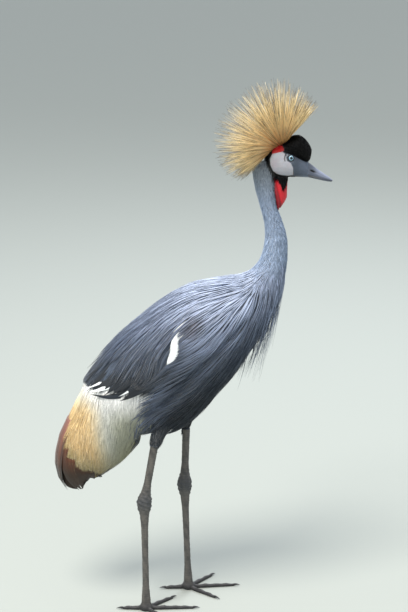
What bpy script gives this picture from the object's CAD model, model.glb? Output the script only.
# %% [markdown]
# # A grey crowned crane, life size
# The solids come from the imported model: a trunk and neck, folded wings, legs and a fan-shaped crest.
# This script gives them their looks. One skin takes the place of the flesh, and the plumage is mesh on
# top of it: every feather is a thin closed blade that follows the lie of the coat.

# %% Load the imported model
import math

import bmesh
import bpy
import numpy as np
from mathutils import Matrix, Vector
from mathutils.bvhtree import BVHTree


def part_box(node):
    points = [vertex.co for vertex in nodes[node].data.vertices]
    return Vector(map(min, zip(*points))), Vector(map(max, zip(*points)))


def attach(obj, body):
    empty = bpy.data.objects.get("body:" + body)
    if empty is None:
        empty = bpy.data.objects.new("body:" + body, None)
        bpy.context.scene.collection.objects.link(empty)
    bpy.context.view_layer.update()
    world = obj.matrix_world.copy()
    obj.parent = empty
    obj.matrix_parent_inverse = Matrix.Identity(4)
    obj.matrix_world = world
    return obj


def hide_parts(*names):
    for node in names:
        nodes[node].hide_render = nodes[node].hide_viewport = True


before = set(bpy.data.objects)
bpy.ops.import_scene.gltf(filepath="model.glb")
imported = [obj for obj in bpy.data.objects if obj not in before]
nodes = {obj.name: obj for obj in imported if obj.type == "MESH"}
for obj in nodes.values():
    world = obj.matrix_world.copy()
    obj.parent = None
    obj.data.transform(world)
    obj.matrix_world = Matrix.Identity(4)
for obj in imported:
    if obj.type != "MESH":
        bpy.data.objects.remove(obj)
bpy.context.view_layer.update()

# %% [markdown]
# ## The camera
# The bird is seen from its right side, a little from above, with a long lens. The same view is used
# here: 3.2 m away and 1.45 m up, looking 15 degrees down. The long lens keeps the proportions flat.

# %% Camera
LOOKING_DOWN = 15


def new_object(name, data):
    """An object in the scene from a mesh, camera or light."""
    made = bpy.data.objects.new(name, data)
    bpy.context.scene.collection.objects.link(made)
    return made


camera = new_object("camera", bpy.data.cameras.new("camera"))
camera.data.lens = 105
camera.location = (0.0225, -3.21, 1.45)
camera.rotation_euler = (math.radians(90 - LOOKING_DOWN), 0, 0)
bpy.context.scene.camera = camera
print("camera at", tuple(round(v, 3) for v in camera.location))

# %% [markdown]
# ## Colours and nodes
# Colours are written as sRGB hex codes, as a colour picker shows them. Blender's sockets take linear
# numbers, so one function turns the first into the second. Another adds a shader node and links all its
# inputs in one line. Everything below uses these two.

# %% Colours, nodes and materials
def colour(hex_code):
    """An sRGB hex colour as three linear numbers."""
    parts = np.array([int(hex_code[i:i + 2], 16) for i in (0, 2, 4)]) / 255
    return np.where(parts <= 0.04045, parts / 12.92, ((parts + 0.055) / 1.055) ** 2.4)


def node(tree, kind, inputs=None, **settings):
    """Adds a node. An input is a value, or an output socket to link from."""
    made = tree.nodes.new("ShaderNode" + kind)
    for name, value in settings.items():
        setattr(made, name, value)
    for name, value in (inputs or {}).items():
        if isinstance(value, bpy.types.NodeSocket):
            tree.links.new(value, made.inputs[name])
        else:
            made.inputs[name].default_value = value
    return made


def rgba(hex_code):
    """The same colour as a socket takes it, with full opacity."""
    return (*colour(hex_code), 1.0)


def rounded_object(bm, name):
    """A new object from a finished bmesh, shaded smooth."""
    mesh = bpy.data.meshes.new(name)
    bm.to_mesh(mesh)
    bm.free()
    mesh.shade_smooth()
    return new_object(name, mesh)


def start_material(name):
    """A new material with its node tree and its main shader."""
    material = bpy.data.materials.new(name)
    material.use_nodes = True
    return material, material.node_tree, material.node_tree.nodes["Principled BSDF"]


print("grey 808080 is", round(float(colour("808080")[0]), 3), "in linear numbers")

# %% [markdown]
# ## Light and floor
# Open shade under a bright sky: one very large soft light high on the camera's left, a weak one behind
# the bird that picks out the edges of the plumes, and an even pale surround. The floor is a wide matt
# sheet, so it carries no pattern that would compete with the feathers.

# %% Light and floor
def area_light(name, place, target, size, watts, hex_code):
    """A round soft light at a place, turned to a target."""
    lamp = new_object(name, bpy.data.lights.new(name, "AREA"))
    lamp.data.shape, lamp.data.size, lamp.data.energy, lamp.data.color = "DISK", size, watts, colour(hex_code)
    lamp.location = place
    lamp.rotation_euler = (Vector(target) - Vector(place)).to_track_quat("-Z", "Y").to_euler()


area_light("key", (-1.1, -1.9, 4.3), (0, 0, 0.55), 2.0, 265, "FFF9F0")
area_light("rim", (0.9, 2.4, 3.2), (0, 0, 0.6), 1.6, 90, "F2F6FF")
surround = bpy.data.worlds.new("surround")
surround.use_nodes = True
surround.node_tree.nodes["Background"].inputs["Color"].default_value = rgba("EEF3FA")
surround.node_tree.nodes["Background"].inputs["Strength"].default_value = 1.05
bpy.context.scene.world = surround
bpy.context.scene.view_settings.view_transform = "Standard"

bm = bmesh.new()
bmesh.ops.create_grid(bm, x_segments=1, y_segments=1, size=20)
floor = rounded_object(bm, "floor")
sheet, _, sheet_shader = start_material("matt_floor_sheet")
sheet_shader.inputs["Base Color"].default_value = rgba("9DA29C")
sheet_shader.inputs["Roughness"].default_value = 0.9
floor.data.materials.append(sheet)

# %% [markdown]
# ## Closed forms to work on
# The CAD pieces are separate solids with hairline gaps, and are too coarse for skin. A voxel remesh
# melts several of them into one closed surface of even squares, which smoothing and sculpting need.
# Each piece is first swollen by a fraction of a millimetre, to close the gaps.

# %% Melting solids into one form
def apply_modifiers(piece):
    """Replaces a piece's mesh by what its modifiers make of it."""
    depsgraph = bpy.context.evaluated_depsgraph_get()
    mesh = bpy.data.meshes.new_from_object(piece.evaluated_get(depsgraph), depsgraph=depsgraph)
    old = piece.data
    piece.modifiers.clear()
    piece.data = mesh
    bpy.data.meshes.remove(old)


def melted(name, parts, voxel, rounds, swell=0.0005):
    """One smooth closed mesh round copies of the named solids."""
    bm = bmesh.new()
    for part in parts:
        start = len(bm.verts)
        bm.from_mesh(nodes[part].data)
        bm.verts.ensure_lookup_table()
        bmesh.ops.remove_doubles(bm, verts=bm.verts[start:], dist=1e-6)
    bm.normal_update()
    moves = [v.normal * swell for v in bm.verts]
    for vertex, move in zip(bm.verts, moves):
        vertex.co += move
    made = rounded_object(bm, name)
    remesh = made.modifiers.new("voxels", "REMESH")
    remesh.mode, remesh.voxel_size = "VOXEL", voxel
    even = made.modifiers.new("smooth", "SMOOTH")
    even.factor, even.iterations = 0.5, rounds
    apply_modifiers(made)
    return made


SIDES = {"right": -1, "left": 1}
WINGS = [f"wing_{side}{part}" for side in SIDES for part in ("", "_plumes", "_secondaries", "_primaries")]
FEATHERED = ["head", "neck_upper", "neck_lower", "trunk", *WINGS]
THIGHS = [f"leg_{side}_thigh" for side in SIDES]
BARE_LEGS = [n for n in nodes if n.startswith(("toe_", "foot_")) or n.endswith(("_shank", "_tarsus"))]
CLAWS = [n for n in nodes if n.startswith("claw_")]
form = melted("plumage_form", FEATHERED, 0.004, 6)
thigh_form = melted("thigh_form", THIGHS, 0.003, 4)
print("plumage form:", len(form.data.polygons), "faces; thighs:", len(thigh_form.data.polygons))

# %% [markdown]
# ## The skin
# A crane is bare on its cheeks, its throat wattle and its legs. Everything else is hidden by feathers,
# so the skin is fine-grained on the head, coarser on the legs and coarsest on the body. The three
# lengths are melted apart, each at its own grain, and joined by an exact union into one surface. Only
# then is it sculpted, and sunk below the plumage by the coat's depth.
#
# Moving points one by one in Python is slow, so a mesh's points are read into one array, moved all
# together by a formula, and written back. These few helpers do that, and blend smoothly.

# %% Arrays of a mesh
def points_of(mesh, what="co"):
    """Coordinates of all vertices, one row each."""
    flat = np.empty(len(mesh.vertices) * 3)
    mesh.vertices.foreach_get(what, flat)
    return flat.reshape(-1, 3)


def normals_of(mesh):
    return points_of(mesh, "normal")


def set_points(mesh, points):
    mesh.vertices.foreach_set("co", points.ravel())
    mesh.update()


def ease(t):
    """0 to 1 with level ends."""
    t = np.clip(t, 0, 1)
    return t * t * (3 - 2 * t)


def mix(a, b, t):
    """Colours or vectors a and b blended by a t for each."""
    return a + (b - a) * np.asarray(t)[..., None]


def bump_at(values, centre, width):
    """1 at the centre, falling smoothly to nothing a width or two away."""
    return np.exp(-(((values - centre) / width) ** 2))


print("the body is made of", len(FEATHERED), "feathered solids")

# %% [markdown]
# ### Body and thighs
# The CAD form needs three corrections before it becomes skin. The thighs narrow to the shanks like an
# upturned cone, the drooping wing ends bulge back, and the ledge and groove between the two wings are
# levelled, because on the bird the feathers of both wings meet there without a step. The measures come
# from the side view: heights with the x of an outline.

# %% Correcting the form
THIGH_LINES = {-1: ((-0.050, 0.405), (-0.0705, 0.332)), 1: ((-0.009, 0.405), (-0.0115, 0.342))}
DORSAL = np.array((
    (0.230, -0.238), (0.256, -0.253), (0.284, -0.2583), (0.306, -0.2566), (0.338, -0.2486), (0.370, -0.2338),
    (0.395, -0.2215), (0.409, -0.2160), (0.423, -0.2090), (0.440, -0.2000),
))
BULGE_HEIGHTS = (0.27, 0.31, 0.34, 0.37, 0.395, 0.41, 0.43, 0.46, 0.49)
BULGE = (0, 0.003, 0.0035, 0.003, 0.004, 0.006, 0.0095, 0.006, 0)
BULGE_BETWEEN_WINGS = (0, 0.001, 0, -0.002, 0, 0.0095, 0.0095, 0.006, 0)
HOLLOW = 8
LEDGE = 0.404


def rear_x(z):
    """x of the rear outline at a height, in the side view."""
    return np.interp(z, *DORSAL.T)


def fuller(points):
    """Lets the drooping ends of the wings bulge back, and closes the groove and ledge between them."""
    x, y, z = points.T
    middle = ease((0.034 - np.abs(y)) / 0.014)
    back = np.interp(z, BULGE_HEIGHTS, BULGE)
    back_middle = np.interp(z, BULGE_HEIGHTS, BULGE_BETWEEN_WINGS)
    moved = points.copy()
    moved[:, 0] -= (back + (back_middle - back) * middle) * ease((-0.150 - x) / 0.05)
    off = moved[:, 0] - rear_x(z) - HOLLOW * y ** 2
    level = middle * ease((z - 0.398) / 0.005) * ease((0.446 - z) / 0.014) * ease((0.030 - off) / 0.010)
    moved[:, 0] -= 0.88 * level * off
    return moved


def tapered(points):
    """Draws the thighs in towards the shanks, like an upturned cone."""
    moved = points.copy()
    for side, ((x0, z0), (x1, z1)) in THIGH_LINES.items():
        down = np.clip((z0 - points[:, 2]) / (z0 - z1), 0, 1)
        mine = (points[:, 1] * side > 0) & (points[:, 2] > 0.30)
        off = moved[:, :2] - np.column_stack((x0 + (x1 - x0) * down, np.full(len(points), side * 0.05)))
        reach = np.linalg.norm(off, axis=1)
        drawn = reach - 0.66 * down ** 1.4 * np.maximum(reach - 0.0092, 0) * ease((points[:, 2] - 0.318) / 0.016)
        moved[:, :2] += off * np.where(mine, drawn / np.maximum(reach, 1e-9) - 1, 0)[:, None]
    return moved


def even_out(piece):
    """Spreads the points that the levelled ledge left close together."""
    bm = bmesh.new()
    bm.from_mesh(piece.data)
    ledge = [
        v for v in bm.verts
        if abs(v.co.y) < 0.031 and abs(v.co.z - LEDGE) < 0.018 and v.co.x < rear_x(v.co.z) + 0.012
    ]
    for _ in range(40):
        bmesh.ops.smooth_vert(bm, verts=ledge, factor=0.5, use_axis_x=True, use_axis_y=True, use_axis_z=True)
    bm.to_mesh(piece.data)
    bm.free()


print("the rear outline follows", len(DORSAL), "points")

# %% [markdown]
# The skins of the body and the legs are melted and corrected now, and the guide forms with them. The
# tops of the thighs are then drawn up into the body, so that the walls cross cleanly in the union.

# %% Skins of body and legs
body_skin = melted("body_skin", FEATHERED, 0.006, 4)
leg_skin = melted("leg_skin", [*THIGHS, *BARE_LEGS], 0.0016, 3)
for piece in (thigh_form, leg_skin):
    set_points(piece.data, tapered(points_of(piece.data)))
for piece in (form, body_skin):
    set_points(piece.data, fuller(points_of(piece.data)))
    even_out(piece)
thigh_tops = points_of(leg_skin.data)
thigh_tops[:, 2] += 0.035 * ease((thigh_tops[:, 2] - 0.375) / 0.025)
set_points(leg_skin.data, thigh_tops)
print("body skin", len(body_skin.data.polygons), "leg skin", len(leg_skin.data.polygons))

# %% [markdown]
# ### Head
# The bare cheek is a slightly raised oval patch with a sharp edge, under a small scarlet patch. Round
# the eye the skin makes a low ring of lid. The outlines are drawn in the side view, and skin close to
# the eye is divided again, so that the lid has enough points to bend.

# %% Places on the head
FORWARD = 0.006
EYE = np.array((0.1802, 0.0132, 0.8718))
EYE_RADIUS = 0.0062
LID_OPENING = 0.0050
HEAD_BOTTOM = 0.765


def outline(*points):
    """Points measured in millimetres in the side view, moved forward to the model's head, in metres."""
    return [(x / 1000 + FORWARD, z / 1000) for x, z in points]


def inside(points, shape):
    """How far each point lies inside an outline drawn in the side view (x, z), in metres."""
    shape = np.array(shape)
    p = points[:, (0, 2)]
    nearest = np.full(len(p), 1e9)
    crossings = np.zeros(len(p), int)
    for a, b in zip(shape, np.roll(shape, -1, axis=0)):
        way = b - a
        t = np.clip(((p - a) @ way) / (way @ way), 0, 1)
        nearest = np.minimum(nearest, np.linalg.norm(p - a - t[:, None] * way, axis=1))
        spans = (a[1] > p[:, 1]) != (b[1] > p[:, 1])
        reach = a[0] + (p[:, 1] - a[1]) * way[0] / (way[1] if way[1] else 1e-12)
        crossings += spans & (p[:, 0] < reach)
    return np.where(crossings % 2 == 1, nearest, -nearest)


CHEEK = outline(
    (140.1, 879.3), (135.8, 870.0), (136.8, 859.4), (142.0, 847.2), (149.3, 841.6), (158, 838.9),
    (168.1, 837.9), (178.6, 839.6), (178.2, 853.1), (174.1, 862.4), (167.6, 867.0), (165.6, 873.4),
    (163.2, 879.4), (158.6, 883.4), (149.0, 882.2),
)
SCARLET = outline(
    (139.6, 879.2), (140.6, 884.8), (145.5, 890.0), (151.0, 893.6), (158.3, 892.6), (161.6, 887.6),
    (160.6, 883.8), (150.0, 881.8),
)
CAP = outline(
    (145.5, 886.5), (152.9, 893.5), (168.2, 905), (184.8, 912.5), (198, 906.5), (208.5, 894), (212.5, 881),
    (211, 870), (204.2, 862.7), (195.9, 866.4), (185.3, 872.6), (176.7, 877.4), (166.4, 881.4),
)
THROAT = outline((142.0, 838.0), (152, 832.5), (156.5, 822.5), (160.4, 813.5), (166.0, 822.5), (168.8, 835.5))


def from_eye(points):
    """Distance from the middle of the eye, in the side view."""
    return np.hypot(points[:, 0] - EYE[0], points[:, 2] - EYE[2])


print("the cheek's outline has", len(CHEEK), "points")

# %% [markdown]
# The head's skin is melted round the solids of the bill too, so that it ends as a plug inside the horn.
# head_form is a copy without the bill, kept as a guide for the velvet.

# %% Skin of the head
def divide_near(piece, centre, radius, times):
    """Divides the faces within radius of a point and of its mirror point."""
    bm = bmesh.new()
    bm.from_mesh(piece.data)
    for _ in range(times):
        near = [e for e in bm.edges if min(
            (e.verts[0].co - Vector((centre[0], s * centre[1], centre[2]))).length for s in (-1, 1)
        ) < radius]
        bmesh.ops.subdivide_edges(bm, edges=near, cuts=1, use_grid_fill=True)
        radius *= 0.8
    bmesh.ops.triangulate(bm, faces=[f for f in bm.faces if len(f.verts) > 4])
    bm.to_mesh(piece.data)
    bm.free()


HEAD_SOLIDS = ["head", "forehead_cap", "wattle"]
BILL_BASE = 0.2140
CAP_FRONT_BOTTOM = 0.8655
head_form = melted("head_form", HEAD_SOLIDS, 0.0012, 6)
head_skin = melted("head_skin", [*HEAD_SOLIDS, "bill_upper", "bill_lower"], 0.0010, 6)
# the skin that runs out along the bill is drawn back inside its horn
head_points = points_of(head_skin.data)
pulled = 0.90 * np.maximum(head_points[:, 0] - BILL_BASE, 0) * ease((CAP_FRONT_BOTTOM - head_points[:, 2]) / 0.004)
head_points[:, 0] -= pulled
head_points[:, 2] += 0.40 * pulled
set_points(head_skin.data, head_points)
divide_near(head_skin, (EYE[0], 0.0175, EYE[2]), 0.010, 2)
print("head skin", len(head_skin.data.polygons), "faces")

# %% [markdown]
# The eye's lid is set to stand just clear of the ball, which is added later. The gape, the corner of the
# mouth, is a fine groove. The wattle hangs as two soft lobes with a long fold between and fine cross
# wrinkles, and narrows to its end.

# %% Sculpting the head
def wattle_fold(z):
    """x of the wattle's long fold at a height."""
    return 0.1553 + 0.012 * np.clip((0.812 - z) / 0.04, -0.2, 1)


def sculpt_head(points, normals):
    """Moves the head's points: lids, cheek edge, mouth corner, and folds of the wattle."""
    side = np.where(points[:, 1] < 0, -1.0, 1.0)
    out = np.abs(points[:, 1])
    offset = points[:, (0, 2)] - EYE[[0, 2]]
    d = np.hypot(offset[:, 0], offset[:, 1] * np.where(offset[:, 1] > 0, 1.32, 1.10))
    ball = EYE[1] + np.sqrt(np.maximum(EYE_RADIUS ** 2 - np.minimum(d, EYE_RADIUS) ** 2, 0))
    rim = EYE[1] + math.sqrt(EYE_RADIUS ** 2 - LID_OPENING ** 2)
    facing = (out > 0.008) & (d < 0.016)
    lid = rim + 0.0007 + 0.0003 * np.sin(np.clip((d - LID_OPENING) / 0.0022, 0, 1) * math.pi)
    blend = ease((d - LID_OPENING - 0.0012) / 0.0042)
    wanted = np.where(d < LID_OPENING, ball - 0.0016, lid * (1 - blend) + out * blend)
    edge = ease((d - LID_OPENING + 0.0004) / 0.0008)
    wanted = np.where(d < LID_OPENING + 0.0004, (ball - 0.0016) * (1 - edge) + lid * edge, wanted)
    crease = 0.0004 * bump_at(d, 0.0088, 0.0009)
    out = np.where(facing, wanted - crease, out)
    moved = points.copy()
    moved[:, 1] = side * out
    on_cheek = inside(points, CHEEK)
    raised = 0.0008 * ease(on_cheek / 0.0012) - 0.0004 * ease(1 - np.abs(on_cheek + 0.0008) / 0.0012)
    raised = np.where((np.abs(points[:, 1]) > 0.006), raised, 0)
    moved += normals * raised[:, None]
    gape = np.abs(points[:, 2] - (0.8400 - 0.45 * (points[:, 0] - 0.2060)))
    corner = ease((points[:, 0] - 0.2035) / 0.004) * (np.abs(points[:, 1]) > 0.004)
    moved -= normals * (0.0007 * corner * bump_at(gape, 0, 0.0008))[:, None]
    on_wattle = ease((0.8330 - points[:, 2]) / 0.006) * (points[:, 0] > 0.1450)
    groove = bump_at(points[:, 0], wattle_fold(points[:, 2]), 0.0021)
    ripple = np.sin(points[:, 2] * 1500 + 2.0 * np.sin(points[:, 0] * 700)) * 0.00022
    moved += normals * (on_wattle * (ripple - 0.0019 * groove))[:, None]
    narrowed = ease((0.800 - points[:, 2]) / 0.035) * on_wattle
    moved[:, 0] -= narrowed * np.maximum(points[:, 0] - 0.1545, 0) * 0.55
    return moved


print("eye opening", round(2000 * LID_OPENING, 1), "mm across")

# %% [markdown]
# ### Legs
# Broad plates (scutes) cross the front of a crane's leg and the top of each toe, about 4 mm apart, and
# the hock is a swollen joint. The plates are cut into the mesh as low steps, so they also catch light in
# silhouette. Finer scales are left to the material.

# %% Sculpting the legs
PLATE, TOE_PLATE = 0.0042, 0.0036
HOCK, SHANK_TOP = 0.221, 0.338
PALM, TOE_JOINTS = 0.013, 0.021


def sculpt_legs(points, normals):
    """Cuts plates into shanks and toes, pinches the toes between their joints, and swells the hock."""
    x, y, z = points.T
    shank = (z > 0.020) & (z < SHANK_TOP)
    front = ease(normals[:, 0] * 1.6 + 0.35)
    step = (z / PLATE) % 1.0
    plate = np.where(shank, front * (0.00050 * step ** 2), 0)
    toes = (z < 0.016) & (normals[:, 2] > -0.2)
    for side_name, side in SIDES.items():
        low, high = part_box(f"foot_{side_name}")
        centre = (low + high) / 2
        reach = np.hypot(x - centre.x, y - centre.y)
        mine = toes & (y * side > 0) & (reach > PALM)
        ring = (reach / TOE_PLATE) % 1.0
        joint = np.sin((reach - PALM) / TOE_JOINTS * math.pi) ** 2
        plate = np.where(mine, ease(normals[:, 2] + 0.3) * (0.00045 * ring ** 2 - 0.0009 * joint), plate)
    knobs = np.sin(x * 610 + 1) * np.sin(y * 560 + 2) * np.sin(z * 480) + 0.6 * np.sin(z * 800 + 300 * x)
    hock = bump_at(z, HOCK, 0.022)
    swelling = np.where(shank, knobs * (0.00015 + 0.0007 * hock) + 0.0010 * hock, 0)
    return points + normals * (plate + swelling)[:, None]


print("plates every", 1000 * PLATE, "mm")

# %% [markdown]
# ### One skin
# The union leaves one surface with no seam, from the bill's base to the toes. Where feathers grow, it
# then sinks below the CAD surface by the coat's depth, about 3 mm on the neck and 6 mm on the body, so
# that the feathers fill the bird's outline and don't swell it. Cheeks, wattle and legs stay where they are.

# %% Where feathers grow
def united(base, *others):
    """Joins closed pieces into the first one, without the walls between them."""
    for other in others:
        union = base.modifiers.new("union", "BOOLEAN")
        union.operation, union.solver, union.object = "UNION", "EXACT", other
        apply_modifiers(base)
        bpy.data.objects.remove(other)
    return base


def sink(piece, depth_of):
    """Moves each point inwards by depth_of(points)."""
    points, normals = points_of(piece.data), normals_of(piece.data)
    set_points(piece.data, points - normals * depth_of(points)[:, None])


def behind_legs(p):
    """True for the drooping wing ends behind the near leg, at any height."""
    line = np.interp(p[:, 2], (0.20, 0.22, 0.27, 0.30, 0.345), (-0.145, -0.140, -0.120, -0.107, -0.098))
    return p[:, 0] < line


def neck_front(z):
    """x of the neck's front outline at a height, in the side view."""
    return np.interp(z, (0.7475, 0.7775, 0.809, 0.836), np.array((0.1625, 0.1510, 0.1462, 0.1455)) + FORWARD - 0.0035)


def on_wattle(p):
    """True in front of the neck's outline, below the chin."""
    return (p[:, 2] > HEAD_BOTTOM) & (p[:, 0] > neck_front(p[:, 2]) + 0.0028)


WING_ENDS_BOTTOM = 0.2


def coat_depth(p):
    """How far the feathered skin lies below the CAD surface."""
    x, z = p[:, 0], p[:, 2]
    under_bill = ease((x - 0.2105) / 0.004) * ease((CAP_FRONT_BOTTOM - z) / 0.004)
    plumed = (z > 0.335) & ((z < 0.833) | (x < 0.139)) | behind_legs(p) & (z > WING_ENDS_BOTTOM)
    body = 0.0030 * (z < 0.90) + 0.0028 * ease((0.80 - z) / 0.12)
    depth = 0.0018 * ease(inside(p, CAP) / 0.002 + 0.5) + 0.0010 * under_bill
    return np.where(plumed & ~on_wattle(p), body, depth)


breast = np.array([[0.05, 0.0, 0.55]])
print("the breast's skin lies", round(1000 * float(coat_depth(breast)[0]), 1), "mm below the plumage")

# %% [markdown]
# Now the three skins are joined, sculpted and sunk, in this order. Counting the edges that don't join
# exactly two faces shows whether the surface is closed.

# %% Join, sculpt and sink
# the coarse body skin is drawn in at the head, so that the fine head skin stays outermost
sink(body_skin, lambda p: 0.0028 * ease((p[:, 2] - 0.828) / 0.02))
skin = united(body_skin, leg_skin, head_skin)
skin.name = skin.data.name = "skin"
points, normals = points_of(skin.data), normals_of(skin.data)
on_head = points[:, 2] > HEAD_BOTTOM
on_legs = (points[:, 2] < 0.345) & (~behind_legs(points) | (points[:, 2] < WING_ENDS_BOTTOM))
points[on_head] = sculpt_head(points[on_head], normals[on_head])
points[on_legs] = sculpt_legs(points[on_legs], normals[on_legs])
set_points(skin.data, points)
sink(skin, coat_depth)
bm = bmesh.new()
bm.from_mesh(skin.data)
open_edges = sum(1 for e in bm.edges if not e.is_manifold)
bm.free()
skin.data.calc_loop_triangles()
print("one skin:", len(skin.data.loop_triangles), "triangles,", open_edges, "open edges")

# %% [markdown]
# ### Markings
# The same markings are needed on skin and feathers, so each is one function of a place on the bird.
# They are smooth blends between a few named colours and the outlines above. The slate of the back is
# pale and bluish at the neck's base and almost black at the wing's edge and on the belly.

# %% Greys of body and neck
WHITE_WEDGE = [
    (-0.0262, 0.563), (-0.0232, 0.548), (-0.0222, 0.530), (-0.0290, 0.514), (-0.0535, 0.496), (-0.0400, 0.523),
    (-0.0325, 0.543),
]
NECK_BASE = np.array((0.135, 0.665))
SLATE = [colour(h) for h in ("B9C6DE", "93A0BA", "68758C", "3F4A59", "1D242B")]

# Tone of the grey plumage at landmarks of the side view: x, z, and 0 for the palest to 1 for the darkest
TONES = np.array([
    (0.135, 0.690, 0.20), (0.100, 0.662, 0.06), (0.150, 0.660, 0.34), (0.030, 0.645, 0.06), (-0.020, 0.625, 0.18),
    (-0.060, 0.600, 0.32), (-0.100, 0.570, 0.42), (-0.150, 0.530, 0.56), (-0.195, 0.480, 0.76), (-0.120, 0.500, 0.70),
    (-0.160, 0.465, 0.95), (-0.100, 0.465, 0.94), (-0.060, 0.500, 0.80), (-0.045, 0.545, 0.52), (0.090, 0.610, 0.10),
    (0.045, 0.600, 0.14), (0.130, 0.600, 0.40), (0.110, 0.560, 0.60), (0.030, 0.550, 0.36), (0.080, 0.500, 0.74),
    (0.030, 0.500, 0.66), (-0.010, 0.470, 0.76), (0.050, 0.450, 0.90), (0.000, 0.420, 0.95), (-0.040, 0.432, 0.64),
    (-0.030, 0.390, 0.97), (-0.085, 0.400, 0.45), (-0.070, 0.422, 0.43), (-0.075, 0.375, 0.66), (-0.005, 0.560, 0.46),
    (-0.020, 0.500, 0.66),
])


def ramp(stops, t):
    """Colours of a list of stops at t from 0 to 1."""
    t = np.clip(np.asarray(t, float), 0, 1) * (len(stops) - 1)
    low = np.minimum(t.astype(int), len(stops) - 2)
    table = np.array(stops)
    return mix(table[low], table[low + 1], t - low)


def slate(points):
    """The grey plumage, by the tones at the landmarks."""
    gap = points[:, None, (0, 2)] - TONES[None, :, :2]
    weight = 1 / ((gap ** 2).sum(axis=2) + 0.00015) ** 2
    tone = (weight * TONES[:, 2]).sum(axis=1) / weight.sum(axis=1)
    x, y, z = points.T
    under = ease((0.03 - np.abs(y)) / 0.03) * ease((0.62 - z - 0.6 * (0.10 - x)) / 0.05)
    made = ramp(SLATE, tone + 0.15 * under * (x > 0))
    brown = np.exp(-(((x - 0.002) / 0.014) ** 2 + ((z - 0.572) / 0.020) ** 2))
    return mix(made, colour("5E5152"), 0.6 * brown)


def neck_colour(points):
    """Pale blue-grey, a little browner and darker near the head, black round the cheek and chin."""
    x, z = points[:, 0], points[:, 2]
    shade = mix(colour("9AADC8"), colour("97A3AE"), ease((z - 0.775) / 0.075))
    shade = mix(shade, slate(points), ease((0.700 - z) / 0.06))
    black = ease((inside(points, CHEEK) + 0.0070) / 0.0025) + ease((x - 0.1435) / 0.004) * ease((z - 0.824) / 0.006)
    return mix(shade, colour("0A0A0C"), np.clip(black, 0, 1))


print(len(TONES), "landmarks set the grey")

# %% [markdown]
# The wing's pale and chestnut parts meet the grey along lines that the photo shows. Each line is a list
# of points in the side view, and a place's distance from a line tells which part it belongs to.

# %% Colours of the wing's plumes
# Lower edges of the grey coverts and of the pale plumes, and the chestnut band's width by height
COVERT_EDGE = np.array((
    (-0.215, 0.442), (-0.200, 0.449), (-0.184, 0.446), (-0.160, 0.450), (-0.144, 0.451), (-0.129, 0.444),
    (-0.108, 0.449), (-0.083, 0.456), (-0.046, 0.490),
))
CURTAIN_EDGE = np.array((
    (-0.227, 0.306), (-0.221, 0.292), (-0.210, 0.282), (-0.185, 0.275), (-0.166, 0.278), (-0.147, 0.281),
    (-0.132, 0.291), (-0.119, 0.306), (-0.105, 0.330),
))
CHESTNUT_WIDTH = np.array((
    (0.306, 0.0215), (0.326, 0.0125), (0.346, 0.0062), (0.358, 0.0030), (0.370, 0.0010), (0.384, -0.0015),
    (0.412, -0.012),
))


def from_rear(points):
    """Distance ahead of the bird's rear outline, in the side view."""
    return points[..., 0] - rear_x(points[..., 2])


def below_coverts(points):
    """Distance below the edge of the grey wing coverts."""
    return np.interp(points[..., 0], *COVERT_EDGE.T) - points[..., 2]


def curtain_floor(x):
    """Height at which the pale plumes end."""
    return np.interp(x, *CURTAIN_EDGE.T)


def chestnut_zone(points):
    """Positive on the chestnut feathers: a band along the rear edge, and the rounded tip."""
    band = np.interp(points[..., 2], *CHESTNUT_WIDTH.T) - from_rear(points)
    ragged = 0.002 * np.sin(points[..., 1] * 700) + 0.0015 * np.sin(points[..., 1] * 1900 + 1)
    band = np.minimum(band, 0.8 * (0.387 + ragged - points[..., 2]) - np.abs(points[..., 1]) + 0.003)
    return np.maximum(band, curtain_floor(points[..., 0]) - points[..., 2])


GOLD = [colour(h) for h in ("F6F7F5", "F5EBD3", "F3DDB0", "E8C88E", "B8A873")]
CHESTNUT = [colour(h) for h in ("A0705E", "8A5444", "5E3420", "2E1A06")]


def plume_colour(points):
    """White at the top and front, gold towards the rear, dull olive straw at the bottom."""
    x, z = points[..., 0], points[..., 2]
    rear = ease((-0.150 - 0.15 * (z - 0.36) - x) / 0.050)
    gold = 0.70 * rear * ease((below_coverts(points) - 0.004) / 0.055) + 0.16 * ease((0.36 - z) / 0.08)
    made = ramp(GOLD, gold)
    made = mix(made, colour("A6A88C"), 0.85 * ease((x + 0.192) / 0.065) * ease((0.432 - z) / 0.06))
    return mix(made, colour("8F8B66"), 0.66 * ease((curtain_floor(x) + 0.052 - z) / 0.070))


def chestnut_colour(points):
    """Pale brown at the top of the flight feathers to almost black at their tips."""
    return ramp(CHESTNUT, (0.425 - points[..., 2]) / 0.155)


def plumage_colour(points):
    """Every feathered place's colour, for the skin below the feathers."""
    made = np.where(points[:, 2:3] > 0.64, neck_colour(points), slate(points))
    pale = (below_coverts(points) > 0) & (points[:, 0] < -0.080)
    made = np.where(pale[:, None], plume_colour(points), made)
    made = np.where((inside(points, WHITE_WEDGE) > 0)[:, None], colour("E8EAEA"), made)
    rear = (points[:, 0] < -0.15) & (points[:, 2] < 0.43) & (chestnut_zone(points) > 0)
    return np.where(rear[:, None], chestnut_colour(points), made)


print("the pale plumes end at a height of", CURTAIN_EDGE[:, 1].min(), "m")

# %% [markdown]
# The head carries the strongest contrasts, and they need sharp borders. The legs are painted with worn
# greys that vary from plate to plate.

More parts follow.
